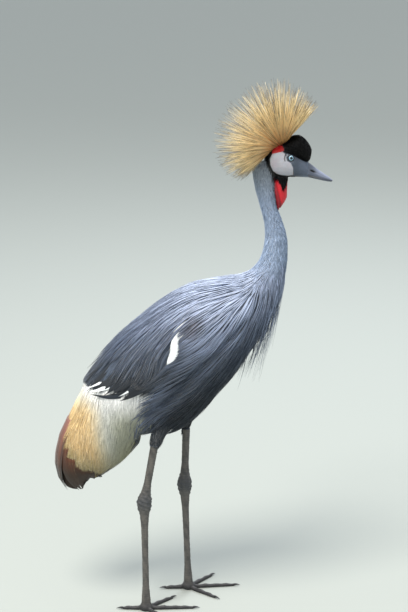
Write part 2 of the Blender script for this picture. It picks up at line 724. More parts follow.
# %% Colours of head and legs
def head_colour(points):
    """Slate face, pale cheek, scarlet patch, black cap and surround."""
    x, z = points[:, 0] - FORWARD, points[:, 2]
    made = np.tile(colour("525C69"), (len(points), 1))
    lores = ease((x - 0.182) / 0.02)
    made = mix(made, colour("6A7587"), lores * 0.8)
    black = ease((0.1585 - x) / 0.004) * (z < 0.886)
    chin = ease((0.8385 - z) / 0.0015) * (x < 0.186)
    crown = ease((z - 0.8845) / 0.004)
    crown = np.maximum(crown, ease(inside(points, CAP) / 0.001 + 1.2))
    made = mix(made, colour("070708"), np.maximum(np.maximum(black, chin), crown))
    blotch = 0.5 + 0.5 * np.sin(x * 900 + 3 * np.sin(z * 700)) * np.sin(z * 1100 + 2 * np.sin(x * 500))
    cheek = mix(colour("B6BCC4"), colour("C0A9AE"), 0.4 * blotch)
    pink = np.exp(-(((x - 0.145) / 0.006) ** 2 + ((z - 0.860) / 0.008) ** 2))
    cheek = mix(cheek, colour("B08794"), 0.25 * pink)
    depth = inside(points, CHEEK)
    cheek = mix(colour("8F7444"), cheek, ease(depth / 0.0012 + 0.2 + ease((z - 0.845) / 0.01)))
    made = mix(made, cheek, ease(depth / 0.0006 + 0.5))
    made = mix(made, colour("C8181C"), ease(inside(points, SCARLET) / 0.0008 + 0.5))
    # behind the eye a pale crescent with a dark line outside it, and round the eye a dark bare rim
    d = from_eye(points)
    bearing = np.degrees(np.arctan2(z - EYE[2], points[:, 0] - EYE[0])) % 360
    arc = ease((bearing - 128) / 12) * ease((212 - bearing) / 12)
    made = mix(made, colour("101114"), arc * bump_at(d, 0.0118, 0.0011))
    made = mix(made, colour("C9CFD6"), arc * bump_at(d, 0.0094, 0.0008))
    return mix(made, colour("15181C"), ease((0.0067 - d) / 0.0010))


def wattle_colour(points):
    """Scarlet in front of the fold, crimson behind it, and black on the throat."""
    fold = wattle_fold(points[:, 2])
    red = mix(colour("CE1828"), colour("960C1C"), ease((fold + 0.0015 - points[:, 0]) / 0.003))
    red = mix(red, colour("6E0812"), bump_at(points[:, 0], fold, 0.0013) * 0.7)
    return mix(red, colour("131417"), ease(inside(points, THROAT) / 0.0008 + 0.5))


LEG_TONES = [colour(h) for h in ("3D3C3B", "504E4B", "65615B", "494846")]


def leg_colour(points):
    """Grey horn, lighter to each plate's lower edge, darker at the hock and on the toes."""
    x, y, z = points.T
    streaks = 0.25 * np.sin(z * 160 + x * 500 + 2.5 * np.sin(z * 47 + y * 300))
    grime = 0.5 + streaks + 0.25 * np.sin(y * 700 + 3 * np.sin(z * 90))
    tone = ramp(LEG_TONES, 0.55 * grime + 0.35 * ((z / PLATE) % 1.0))
    tone = mix(tone, colour("353B42"), 0.6 * bump_at(z, HOCK, 0.02))
    return mix(tone, colour("262628"), ease((0.03 - z) / 0.03))


print("legs in", len(LEG_TONES), "greys")

# %% [markdown]
# ### Paint
# Each vertex stores its colour in an attribute named Tint, which the materials read. Each face takes one
# of four finishes, by its place: bare face, skin under feathers, leg scales or wattle.

# %% Painting the skin
FACE, PLUMED, SCALED, WATTLED = range(4)


def skin_regions(points):
    """Which of the four finishes each point of the skin has."""
    x, z = points[:, 0], points[:, 2]
    region = np.full(len(points), PLUMED)
    on_head = (z > 0.8335) & (x > 0.139) | (inside(points, CHEEK) > -0.003)
    region[on_head] = FACE
    front = x > 0.1440 + 0.10 * np.clip(0.80 - z, 0, 0.1)
    region[(z < 0.8335) & front & on_wattle(points)] = WATTLED
    region[(z < WING_ENDS_BOTTOM) | ((z < 0.333) & ~behind_legs(points))] = SCALED
    return region


def skin_colour(points):
    """The bare parts in their own colours, the feathered skin a little darker than its feathers."""
    region = skin_regions(points)
    made = plumage_colour(points) * 0.8
    made[region == FACE] = head_colour(points[region == FACE])
    made[region == WATTLED] = wattle_colour(points[region == WATTLED])
    made[region == SCALED] = leg_colour(points[region == SCALED])
    return made


def paint(mesh, colours):
    """Stores a colour at each vertex in the attribute Tint."""
    layer = mesh.color_attributes.new("Tint", "FLOAT_COLOR", "POINT")
    solid = np.column_stack((colours, np.ones(len(colours))))
    layer.data.foreach_set("color", solid.ravel().astype(np.float32))


skin_points = points_of(skin.data)
paint(skin.data, skin_colour(skin_points))
centres = np.empty(len(skin.data.polygons) * 3)
skin.data.polygons.foreach_get("center", centres)
skin.data.polygons.foreach_set("material_index", skin_regions(centres.reshape(-1, 3)))
skin.data.shade_smooth()
print("skin regions:", np.bincount(skin_regions(skin_points)))

# %% [markdown]
# ### Finishes of the skin
# Cheek skin is finely pebbled and soft, so light goes in a little and comes out pink. Leg skin is dry
# horn: small net-like scales with dull edges. The wattle is wet-looking, wrinkled and full of blood.
#
# All painted materials work alike: the Tint is multiplied by a brightness, and a height makes a bump.

# %% Skin materials
def tint_and_relief(tree, shader, brightness, height, strength, distance, invert=False):
    """Base colour from Tint times a brightness, and bumps from a height."""
    tint = node(tree, "Attribute", attribute_name="Tint")
    shaded = node(tree, "VectorMath", {0: tint.outputs["Color"], "Scale": brightness}, operation="SCALE")
    relief = node(tree, "Bump", {"Height": height, "Strength": strength, "Distance": distance}, invert=invert)
    tree.links.new(shaded.outputs[0], shader.inputs["Base Color"])
    tree.links.new(relief.outputs[0], shader.inputs["Normal"])


def skin_material(name, grain_mm, bump, roughness, blood, kind="F1"):
    """Painted skin with a cellular grain. grain_mm is the real size of one scale or pebble."""
    material, tree, shader = start_material(name)
    place = node(tree, "TexCoord").outputs["Object"]
    cells = node(tree, "TexVoronoi", {"Vector": place, "Scale": 1000 / grain_mm}, feature=kind).outputs["Distance"]
    cloud = node(tree, "TexNoise", {"Vector": place, "Scale": 60.0, "Detail": 5.0})
    patchy = node(tree, "MapRange", {"Value": cloud.outputs["Fac"], "To Min": 0.82, "To Max": 1.14})
    pits = node(tree, "MapRange", {"Value": cells, "From Max": 0.6, "To Min": 1.06, "To Max": 0.80})
    both = node(tree, "Math", {0: patchy.outputs[0], 1: pits.outputs[0]}, operation="MULTIPLY")
    tint_and_relief(tree, shader, both.outputs[0], cells, bump, 0.0004, invert=True)
    shader.inputs["Roughness"].default_value = roughness
    shader.inputs["Subsurface Weight"].default_value = blood
    shader.inputs["Subsurface Radius"].default_value = (1.0, 0.35, 0.2)
    shader.inputs["Subsurface Scale"].default_value = 0.0015
    return material


for finish in (
    skin_material("bare_face_skin", 0.9, 0.35, 0.5, 0.15),
    skin_material("skin_under_feathers", 1.4, 0.3, 0.85, 0.0),
    skin_material("horny_leg_scales", 1.7, 0.8, 0.55, 0.0),
    skin_material("blood_filled_wattle", 1.1, 0.3, 0.38, 0.25),
):
    skin.data.materials.append(finish)
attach(skin, "root")
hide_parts("head", "neck_upper", "neck_lower", "trunk", "wattle", *THIGHS, *BARE_LEGS)
print("skin has", len(skin.data.materials), "finishes")

# %% [markdown]
# ## How a feather is made
# Each feather is a blade with three points across: two edges and a raised shaft line between, closed
# underneath. It is narrow at the root, widest early on and runs to a point. Thousands of them are laid
# in one go as arrays, because an object per feather would be far too slow.
#
# A feather keeps two UV maps: Vane runs across and along the blade, for shaft and barbs. OFBake is a
# patch about 0.003 across at the root's place on an unwrap of the bird, round and along the spine.

# %% Unwrap along the spine
SPINE = np.array([
    (0.215, 0.850), (0.170, 0.862), (0.140, 0.862), (0.131, 0.840), (0.134, 0.800), (0.148, 0.750), (0.155, 0.720),
    (0.154, 0.690), (0.143, 0.655), (0.110, 0.610), (0.060, 0.565), (0.000, 0.520), (-0.070, 0.470), (-0.130, 0.410),
    (-0.175, 0.350), (-0.215, 0.280), (-0.235, 0.220),
])


def unwrap(points):
    """u round the spine and v along it, from 0 to 1."""
    p = points[:, (0, 2)]
    best = np.full(len(p), 1e9)
    along = np.zeros(len(p))
    away = np.zeros(len(p))
    start = 0.0
    for a, b in zip(SPINE, SPINE[1:]):
        way = b - a
        length = np.linalg.norm(way)
        t = np.clip(((p - a) @ way) / length ** 2, 0, 1)
        gap = p - a - t[:, None] * way
        d = np.linalg.norm(gap, axis=1)
        over = (gap @ np.array((way[1], -way[0]))) / length
        closer = d < best
        best = np.where(closer, d, best)
        along = np.where(closer, start + t * length, along)
        away = np.where(closer, over, away)
        start += length
    round_it = np.arctan2(points[:, 1], away) / (2 * math.pi) + 0.5
    return np.column_stack((0.005 + 0.99 * np.clip(round_it, 0, 0.995), 0.005 + 0.985 * along / start))


print("the unwrap follows", len(SPINE), "points")

# %% [markdown]
# A tract of feathers arrives as arrays: the path of each shaft, which way is up, the half width and the
# colour at each ring. Vertices, faces and UVs of all feathers are then worked out together.

# %% Building many feathers as one mesh
TRIANGLES = {}
PATCH = 0.003


def unit(v):
    """Vectors of the same directions with length 1."""
    return v / np.maximum(np.linalg.norm(v, axis=-1, keepdims=True), 1e-12)


def feather_piece(name, path, up, half, tint, ridge=0.35, crisp=False):
    """A mesh of feathers. path and up are (feathers, rings, 3), half and tint the half width and the
    colour at each ring. ridge is how far the shaft stands up, as a share of the half width."""
    count, rings = path.shape[:2]
    along = unit(np.gradient(path, axis=1))
    side = unit(np.cross(along, up))
    top = unit(np.cross(side, along))
    half = half[..., None]
    corners = np.stack((path - side * half, path + top * (half * ridge + 0.00008), path + side * half), axis=2)
    first = (np.arange(count) * rings * 3)[:, None, None] + (np.arange(rings - 1) * 3)[None, :, None]
    quads = [[0, 1, 4, 3], [1, 2, 5, 4], [2, 0, 3, 5]]
    sides = (first[:, :, None, :] + np.array(quads)[None, None]).reshape(-1, 4)
    ends = np.array([[0, 2, 1], [3 * rings - 3, 3 * rings - 2, 3 * rings - 1]])
    ends = (ends + (np.arange(count) * rings * 3)[:, None, None]).reshape(-1, 3)
    loops = np.concatenate((sides.ravel(), ends.ravel())).astype(np.int32)
    starts = np.concatenate((np.arange(len(sides)) * 4, len(sides) * 4 + np.arange(len(ends)) * 3)).astype(np.int32)
    mesh = bpy.data.meshes.new(name)
    mesh.vertices.add(count * rings * 3)
    mesh.vertices.foreach_set("co", corners.astype(np.float32).ravel())
    mesh.loops.add(len(loops))
    mesh.loops.foreach_set("vertex_index", loops)
    mesh.polygons.add(len(starts))
    mesh.polygons.foreach_set("loop_start", starts)
    mesh.update(calc_edges=True)
    mesh.polygons.foreach_set("use_smooth", np.ones(len(starts), bool))
    vane = np.stack(np.broadcast_arrays(
        np.array((0.0, 0.5, 1.0))[None, None, :], np.linspace(0, 1, rings)[None, :, None], np.zeros((count, 1, 1)),
    )[:2], axis=-1).reshape(-1, 2)
    patch = np.repeat(unwrap(path[:, 0]), rings * 3, axis=0) + (vane - 0.5) * PATCH
    for layer_name, places in (("OFBake", patch), ("Vane", vane)):
        layer = mesh.uv_layers.new(name=layer_name)
        layer.data.foreach_set("uv", places[loops].astype(np.float32).ravel())
    paint(mesh, np.repeat(tint.reshape(-1, 3), 3, axis=0))
    if crisp:
        ends_of = np.empty(len(mesh.edges) * 2, np.int32)
        mesh.edges.foreach_get("vertices", ends_of)
        pair = np.sort(ends_of.reshape(-1, 2), axis=1)
        rim = (pair[:, 1] - pair[:, 0] == 3) & (pair[:, 0] % 3 != 1)
        mesh.attributes.new("sharp_edge", "BOOLEAN", "EDGE").data.foreach_set("value", rim)
    piece = new_object(name, mesh)
    TRIANGLES[name] = len(sides) * 2 + len(ends)
    print(name, count, "feathers,", TRIANGLES[name], "triangles")
    return piece


def blade(t, tip=2.0, base=0.16):
    """Share of the full width along a feather: a quick rise, then a taper to a point."""
    return np.maximum(ease(t / base * 0.75 + 0.25) * (1 - t ** tip), 0.03)


# %% [markdown]
# ## Laying feathers on the form
# Roots are scattered evenly: points are drawn at random over the surface, and a new one is dropped if it
# falls too close to one that is already there. Space is divided into cubes of the spacing's size, so
# that each point is only compared with those in its own and the neighbouring cubes.

# %% Scattering roots
def triangles_of(piece):
    """Corner points of every triangle of a piece."""
    mesh = piece.data
    mesh.calc_loop_triangles()
    index = np.empty(len(mesh.loop_triangles) * 3, np.int32)
    mesh.loop_triangles.foreach_get("vertices", index)
    return points_of(mesh)[index.reshape(-1, 3)]


def scatter(piece, wanted, spacing, seed):
    """Points on a piece's surface, at least about spacing apart. wanted(points, normals) is 0 to 1."""
    rng = np.random.default_rng(seed)
    corners = triangles_of(piece)
    cross = np.cross(corners[:, 1] - corners[:, 0], corners[:, 2] - corners[:, 0])
    area = np.linalg.norm(cross, axis=1) / 2
    share = area * (wanted(corners.mean(axis=1), unit(cross)) > 0)
    tries = int(share.sum() / spacing ** 2 * 5)
    pick = rng.choice(len(corners), tries, p=share / share.sum())
    a, b = rng.random(tries), rng.random(tries)
    flip = a + b > 1
    a[flip], b[flip] = 1 - a[flip], 1 - b[flip]
    tri = corners[pick]
    points = tri[:, 0] + a[:, None] * (tri[:, 1] - tri[:, 0]) + b[:, None] * (tri[:, 2] - tri[:, 0])
    keep = rng.random(tries) < wanted(points, unit(cross)[pick])
    points = points[keep]
    cells, chosen = {}, []
    near = [(i, j, k) for i in (-1, 0, 1) for j in (-1, 0, 1) for k in (-1, 0, 1)]
    keys = np.floor(points / spacing).astype(int)
    limit = (0.85 * spacing) ** 2
    for n, (key, p) in enumerate(zip(map(tuple, keys), points.tolist())):
        clear = True
        for i, j, k in near:
            for q in cells.get((key[0] + i, key[1] + j, key[2] + k), ()):
                if (p[0] - q[0]) ** 2 + (p[1] - q[1]) ** 2 + (p[2] - q[2]) ** 2 < limit:
                    clear = False
                    break
            if not clear:
                break
        if clear:
            cells.setdefault(key, []).append(p)
            chosen.append(n)
    return points[chosen]


print(len(triangles_of(form)), "triangles to scatter on")

# %% [markdown]
# Each feather creeps along the surface from its root in the direction of the coat's lie, step by step:
# go a little way, drop back to the nearest surface point, and turn to the lie there. Later it rises from
# deep at its root to the outer surface at its tip, so that it overlaps the next one like a roof tile.

# %% Laying feathers along the surface
def tree_of(piece):
    """A search tree that finds the nearest surface point fast."""
    mesh = piece.data
    return BVHTree.FromPolygons([v.co for v in mesh.vertices], [tuple(p.vertices) for p in mesh.polygons])


def nearest(tree, points):
    """The nearest surface points and their normals."""
    found = [tree.find_nearest(p) for p in points.tolist()]
    return np.array([f[0] for f in found]), np.array([f[1] for f in found])


def lay(tree, roots, length, rings, lie, bend=None):
    """Paths along the surface from each root, following lie(points), and the surface's normals."""
    path = np.empty((len(roots), rings, 3))
    up = np.empty_like(path)
    here = roots
    for k in range(rings):
        spot, normal = nearest(tree, here)
        way = lie(spot) if bend is None else turned(lie(spot), normal, bend)
        way = unit(way - normal * (way * normal).sum(axis=1, keepdims=True))
        path[:, k], up[:, k] = spot, normal
        here = spot + way * (length / (rings - 1))[:, None]
    soft = up.copy()
    soft[:, 1:-1] = up[:, 1:-1] + 0.5 * (up[:, :-2] + up[:, 2:])
    return path, unit(soft)


def turned(way, normal, angle):
    """Turns directions about the normals by an angle for each."""
    flat = unit(way - normal * (way * normal).sum(axis=1, keepdims=True))
    return flat * np.cos(angle)[:, None] + np.cross(normal, flat) * np.sin(angle)[:, None]


def stopped(path, length, zone):
    """Lengths that end each path where it first enters a zone. zone(points) is positive inside."""
    rings = path.shape[1]
    within = zone(path.reshape(-1, 3)).reshape(len(path), rings) > 0
    first = np.where(within.any(axis=1), within.argmax(axis=1), rings - 1)
    return length * first / (rings - 1)


def from_side(tree, x, z, side):
    """The surface point seen at (x, z) from one side of the bird."""
    found = tree.ray_cast(Vector((x, side, z)), Vector((0, -side, 0)))[0]
    return tuple(found or tree.find_nearest(Vector((x, side * 0.01, z)))[0])


form_tree = tree_of(form)
thigh_tree = tree_of(thigh_form)
head_tree = tree_of(head_form)
print("guides ready")

# %% [markdown]
# The coat's lie is read off the photo at about fifty places. Between them it is blended, so feathers
# sweep smoothly from the neck over the breast and back to the wing's end.

# %% The lie of the coat
# The lie of the coat in the side view: x, z, and a heading in degrees (180 is back, 270 is down)
LIE = np.array([
    (0.136, 0.860, 262), (0.126, 0.820, 279), (0.138, 0.780, 286), (0.150, 0.740, 280), (0.150, 0.700, 266),
    (0.172, 0.700, 266), (0.130, 0.668, 238), (0.090, 0.662, 192), (0.027, 0.651, 197), (-0.050, 0.617, 209),
    (-0.114, 0.572, 217), (-0.166, 0.524, 235), (-0.200, 0.470, 248), (0.078, 0.630, 217), (0.103, 0.636, 236),
    (0.129, 0.630, 252), (0.158, 0.640, 264), (0.027, 0.604, 219), (-0.024, 0.591, 225), (-0.050, 0.564, 235),
    (-0.089, 0.538, 239), (-0.115, 0.497, 243), (-0.154, 0.484, 235), (-0.068, 0.505, 256), (0.091, 0.578, 233),
    (0.052, 0.551, 225), (0.014, 0.524, 213), (-0.025, 0.497, 204), (-0.051, 0.470, 209), (-0.077, 0.444, 209),
    (0.116, 0.564, 246), (0.078, 0.497, 233), (0.040, 0.470, 225), (-0.012, 0.435, 211), (-0.051, 0.422, 209),
    (-0.090, 0.408, 219), (0.027, 0.430, 226), (-0.025, 0.397, 219), (-0.064, 0.375, 240), (-0.150, 0.400, 262),
    (-0.200, 0.350, 262), (-0.120, 0.360, 264), (-0.160, 0.300, 268), (-0.217, 0.406, 243), (-0.236, 0.370, 247),
    (-0.250, 0.330, 255), (-0.257, 0.288, 268), (-0.250, 0.262, 280), (-0.236, 0.245, 296), (-0.205, 0.262, 285),
])


def coat_lie(points):
    """Blends the headings of LIE, weighted by nearness."""
    gap = points[:, None, (0, 2)] - LIE[None, :, :2]
    weight = 1 / ((gap ** 2).sum(axis=2) + 0.00012) ** 2
    heading = np.radians(LIE[:, 2])
    x, z = weight @ np.cos(heading), weight @ np.sin(heading)
    return unit(np.column_stack((x, np.zeros(len(x)), z)))


print(len(LIE), "headings guide the coat")

# %% [markdown]
# ### What a feather's surface looks like
# A vane is made of parallel barbs that slant away from a shaft. From a distance they give a fine grain
# and a soft sheen, and each feather is lighter along its shaft and darker where it tucks under the next.
# Barbs are 0.3 mm apart in life, and are drawn at 0.9 mm here, because finer ones would not show.

# %% Feather material
def feather_material(
    name, length_mm, roughness=0.6, sheen=0.25, edge=0.55, shaft=1.35, barb=0.35, barb_mm=0.9, gloss=0.35, slant=3.0,
):
    """Colours come from Tint. edge is the brightness at the blade's rims, shaft at its middle line."""
    material, tree, shader = start_material(name)
    vane = node(tree, "SeparateXYZ", {0: node(tree, "UVMap", uv_map="Vane").outputs[0]})
    off_middle = node(tree, "Math", {0: vane.outputs[0], 1: 0.5}, operation="SUBTRACT")
    across = node(tree, "Math", {0: off_middle.outputs[0]}, operation="ABSOLUTE").outputs[0]
    fading = {"Value": across, "From Max": 0.5, "To Min": 1.0, "To Max": edge}
    fade = node(tree, "MapRange", fading, interpolation_type="SMOOTHSTEP")
    line = node(tree, "MapRange", {"Value": across, "From Min": 0.02, "From Max": 0.07, "To Min": shaft, "To Max": 1.0})
    lean = node(tree, "Math", {0: across, 1: -slant}, operation="MULTIPLY")
    turns = length_mm / barb_mm * 2 * math.pi
    run = node(tree, "Math", {0: vane.outputs[1], 1: turns, 2: lean.outputs[0]}, operation="MULTIPLY_ADD")
    barbs = node(tree, "Math", {0: run.outputs[0]}, operation="SINE").outputs[0]
    contrast = 0.22 * barb
    grain = node(tree, "MapRange", {"Value": barbs, "From Min": -1.0, "To Min": 1 - contrast, "To Max": 1 + contrast})
    first = node(tree, "Math", {0: fade.outputs[0], 1: line.outputs[0]}, operation="MULTIPLY")
    both = node(tree, "Math", {0: first.outputs[0], 1: grain.outputs[0]}, operation="MULTIPLY")
    tint_and_relief(tree, shader, both.outputs[0], barbs, barb, 0.0001)
    shader.inputs["Roughness"].default_value = roughness
    shader.inputs["Specular IOR Level"].default_value = gloss
    shader.inputs["Sheen Weight"].default_value = sheen
    shader.inputs["Sheen Roughness"].default_value = 0.4
    return material


def finish(piece, material, slot_name, *replaced):
    """Gives a piece its material and its slot, and names the solids that it takes the place of."""
    piece.data.materials.append(material)
    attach(piece, "root")
    if replaced:
        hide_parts(*replaced)
    return piece


def varied(tint, rng, spread, rings):
    """The same colours with a brightness of its own for each feather, as (feathers, rings, 3)."""
    own = 1 + spread * rng.standard_normal(len(tint))
    return np.repeat((tint * np.clip(own, 0.4, 1.7)[:, None])[:, None, :], rings, axis=1)


def plain(hex_code):
    """A tint function that gives every place the same colour."""
    return lambda places: np.broadcast_to(colour(hex_code), places.shape).copy()


def swept(x, z):
    """A lie that is the same everywhere, in the side view."""
    return lambda points: np.tile((x, 0.0, z), (len(points), 1))


print("feathers can be coloured, combed and finished")

# %% [markdown]
# ## Neck
# The neck's feathers are short, narrow and soft. They lie so close that the neck looks like plush. They
# get longer towards the shoulders.

# %% Neck feathers
def neck_feathers():
    """Short plush feathers from the cheek's edge down to the shoulders."""
    rng = np.random.default_rng(11)

    def wanted(p, n):
        high = (p[:, 2] > 0.645) & (p[:, 0] > 0.070) & (p[:, 2] < 0.885)
        clear = (inside(p, CHEEK) < -0.0012) & ((p[:, 0] < 0.1465) | (p[:, 2] < 0.836)) & (inside(p, SCARLET) < -0.001)
        return high * clear * (1 - 0.45 * ease((0.72 - p[:, 2]) / 0.06))

    roots = scatter(form, wanted, 0.0019, 12)
    down = ease((0.80 - roots[:, 2]) / 0.13)
    length = (0.009 + 0.021 * down) * rng.uniform(0.85, 1.2, len(roots))
    rings = 4
    path, up = lay(form_tree, roots, length, rings, coat_lie, bend=rng.normal(0, 0.07, len(roots)))
    t = np.linspace(0, 1, rings)
    deep = (0.0020 + 0.002 * down)[:, None] * (1 - t) ** 1.2
    path += up * (rng.uniform(-0.0004, 0.0003, (len(roots), 1)) - deep)[..., None]
    half = (0.00065 + 0.0007 * down)[:, None] * blade(t, 2.2)
    return feather_piece("coat_neck", path, up, half, varied(neck_colour(path[:, 1]), rng, 0.09, rings))


soft_plume = feather_material("soft_neck_down", 16, roughness=0.75, sheen=0.3, edge=0.8, shaft=1.08, barb=0.1)
finish(neck_feathers(), soft_plume, "neck_plumage")

# %% [markdown]
# ## Breast and mantle
# From the neck's base long, narrow, pointed plumes fall over the breast and back like combed hair. They
# show as pale streaks with dark gaps, so each is light along its middle. They lie on top of the wing.

# %% Long plumes of breast and mantle
def wedge(points):
    """Positive on the white wedge, on the wings' sides only."""
    return np.where(np.abs(points[:, 1]) > 0.03, inside(points, WHITE_WEDGE), -1)


FLANK_TOP = 0.462
FLANK_EDGE = np.array((
    (0.345, -0.092), (0.371, -0.096), (0.392, -0.089), (0.416, -0.098), (0.441, -0.093), (0.453, -0.082),
    (FLANK_TOP, -0.110),
))


def off_plumes(points):
    """Positive where the breast's plumes end: at the white wedge, and raggedly at the flank's edge."""
    z = points[:, 2]
    edge = np.interp(z, *FLANK_EDGE.T) - 0.004 + 0.006 * np.sin(z * 430) + 0.004 * np.sin(z * 1270 + points[:, 1] * 500)
    return np.maximum(wedge(points), np.where(z < FLANK_TOP, edge - points[:, 0], -1))


def long_plumes():
    """Long lancet plumes of breast, mantle and flank."""
    rng = np.random.default_rng(21)

    def wanted(p, n):
        front = p[:, 0] > -0.012 - 0.50 * (p[:, 2] - 0.45)
        low = p[:, 2] > 0.385 - 0.25 * (p[:, 0] + 0.05)
        return front * low * (p[:, 2] < 0.690) * ease((p[:, 0] + 0.11) / 0.10) * (wedge(p) < 0)

    roots = scatter(form, wanted, 0.0052, 22)
    fall = np.hypot(roots[:, 0] - NECK_BASE[0], roots[:, 2] - NECK_BASE[1])
    length = (0.070 + 0.080 * ease(fall / 0.10)) * rng.uniform(0.75, 1.15, len(roots))
    length *= 1 - 0.35 * ease((0.47 - roots[:, 2]) / 0.06)
    rings, bend = 9, rng.normal(0, 0.055, len(roots))
    length = stopped(lay(form_tree, roots, length, 28, coat_lie, bend)[0], length, off_plumes)
    keep = length > 0.018
    roots, length, bend = roots[keep], length[keep], bend[keep]
    path, up = lay(form_tree, roots, length, rings, coat_lie, bend)
    t = np.linspace(0, 1, rings)
    rise = 0.0006 + rng.uniform(0, 0.0030, len(roots)) + 0.0016 * ease((-0.03 - path[:, -1, 0]) / 0.04)
    path += up * (rise[:, None] * t - 0.0058 * (1 - t) ** 1.3)[..., None]
    half = (rng.uniform(0.0017, 0.0031, len(roots)))[:, None] * blade(t, 1.5)
    tones = slate(path.reshape(-1, 3)).reshape(path.shape)
    tint = varied(slate(path[:, 4]), rng, 0.30, rings) ** 0.4 * tones ** 0.6
    tint *= (1.24 - 0.36 * t)[None, :, None]
    return feather_piece("coat_breast_and_mantle", path, up, half, tint, ridge=0.5)


lance_plume = feather_material("lance_shaped_plume", 110, roughness=0.5, sheen=0.25, edge=0.36, shaft=1.35, barb=0.25)
finish(long_plumes(), lance_plume, "wing_plumage")

# %% [markdown]
# ## Folded wing
# The grey wing coverts are broader, with a blunt point, and hang over the white part of the wing in a
# ragged dark edge. Where the covers part, a wedge of the white feathers below shows.

# %% Wing coverts
def wing_coverts():
    """Broad grey feathers in rows over the folded wing."""
    rng = np.random.default_rng(31)

    def wanted(p, n):
        on_wing = (p[:, 0] < 0.050 - 0.34 * (p[:, 2] - 0.45)) & (below_coverts(p) < -0.020)
        return on_wing * (wedge(p) < 0) * (p[:, 2] < 0.665)

    roots = scatter(form, wanted, 0.0076, 32)
    rear = ease((0.02 - roots[:, 0]) / 0.18)
    length = (0.056 + 0.028 * rear) * rng.uniform(0.85, 1.15, len(roots))
    rings, bend = 9, rng.normal(0, 0.07, len(roots))

    def off_limits(p):
        return np.maximum(wedge(p), np.where(p[:, 0] < -0.03, below_coverts(p) - 0.001, -1))

    length = stopped(lay(form_tree, roots, length, 24, coat_lie, bend)[0], length, off_limits)
    keep = length > 0.016
    roots, length, bend, rear = roots[keep], length[keep], bend[keep], rear[keep]
    path, up = lay(form_tree, roots, length, rings, coat_lie, bend)
    t = np.linspace(0, 1, rings)
    path += up * (0.0010 * t - 0.0052 * (1 - t) ** 1.2)[..., None]
    half = (rng.uniform(0.0038, 0.0054, len(roots)) * (0.8 + 0.4 * rear))[:, None] * blade(t, 3.0)
    tint = varied(slate(path[:, 4]), rng, 0.13, rings)
    tint *= (1.14 - 0.30 * t)[None, :, None]
    return feather_piece("coat_wing_coverts", path, up, half, tint, ridge=0.22, crisp=True)


covert = feather_material("broad_grey_covert", 75, roughness=0.5, sheen=0.15, edge=0.62, shaft=0.80, barb=0.5)
finish(wing_coverts(), covert, "wing_plumage", "wing_right", "wing_left")

# %% [markdown]
# The last row of coverts is larger and almost black, and is laid along the wing's edge. Its pointed tips
# lie apart over the white plumes, so white shows between them. The few tips that stand out in the photo,
# and the white slits beside them, are placed one by one.

# %% Last row of coverts, and the white wedge
def placed_feathers(name, rows, rings, tint_of, tip_power, rise, seed):
    """Broad feathers on both sides. Each row holds, in the side view, the x and z of a feather's tip, its
    heading in degrees, its length, its half width and how far it sags."""
    rng = np.random.default_rng(seed)
    x, z, heading, length, half_width, sag = np.array(rows).T
    back = np.radians(heading)
    roots = np.array([
        from_side(form_tree, a, b, side) for side in SIDES.values()
        for a, b in zip(x - length * np.cos(back), z - length * np.sin(back))
    ])
    ways = np.column_stack((np.cos(back), 0 * back, np.sin(back)))
    path, up = lay(form_tree, roots, np.tile(length, 2), rings, lambda p: np.tile(ways, (2, 1)))
    t = np.linspace(0, 1, rings)
    own = rng.uniform(0, 0.0008, (len(roots), 1))
    path += up * (own + rise * t - 0.0035 * (1 - t) ** 1.3)[..., None]
    path[..., 2] -= np.tile(sag, 2)[:, None] * 4 * t * (1 - t)
    half = np.tile(half_width, 2)[:, None] * blade(t, tip_power)
    tint = tint_of(path) * np.clip(1 + 0.12 * rng.standard_normal((len(roots), 1, 1)), 0.6, 1.4)
    return feather_piece(name, path, up, half, tint, ridge=0.2, crisp=True)


# %% [markdown]
# The dark row follows the coverts' edge with small random steps, and the white row follows the wedge's
# lower side. The other two tables hold the feathers that stand out in the photo.

# %% Rows of the wing's edge
def edge_rows():
    """Rows for the dark feathers along the coverts' edge."""
    rng = np.random.default_rng(33)
    made = []
    for share in np.linspace(0, 1, 20):
        x = -0.2060 + 0.150 * share + rng.uniform(-0.0015, 0.0015)
        z = np.interp(x, *COVERT_EDGE.T) + 0.002 - rng.uniform(0.0, 0.012)
        made.append((x, z, 226 - 14 * share + rng.uniform(-7, 7), 0.074, 0.0080, 0))
    return made


def wedge_rows():
    """Rows for the white feathers of the wedge."""
    rng = np.random.default_rng(35)
    made = []
    for share in np.linspace(0, 1, 11):
        x = -0.0275 - 0.0185 * share
        z = 0.552 - 0.048 * share
        made.append((x + rng.uniform(-0.001, 0.001), z, 247 - 12 * share, 0.042, 0.0085, 0))
    return made


LONG_TIPS = (
    (-0.1985, 0.4570, 226, 0.060, 0.0070, 0.000), (-0.1905, 0.4425, 183, 0.074, 0.0064, 0.007),
    (-0.1320, 0.4330, 212, 0.064, 0.0070, 0.004), (-0.1520, 0.4440, 196, 0.064, 0.0055, 0.004),
    (-0.1120, 0.4400, 216, 0.064, 0.0075, 0.002), (-0.0930, 0.4440, 220, 0.064, 0.0075, 0.000),
)
WHITE_SLITS = (
    (-0.2010, 0.4500, 202, 0.048, 0.0034, 0.002), (-0.1920, 0.4480, 198, 0.058, 0.0066, 0.004),
    (-0.1330, 0.4420, 212, 0.034, 0.0032, 0.002),
)


def edge_tone(path):
    """The slate of the place, darkening to the tip."""
    t = np.linspace(0, 1, path.shape[1])
    return mix(slate(path[:, 4])[:, None, :], colour("181D22"), np.broadcast_to(0.45 + 0.55 * t, path.shape[:2]))


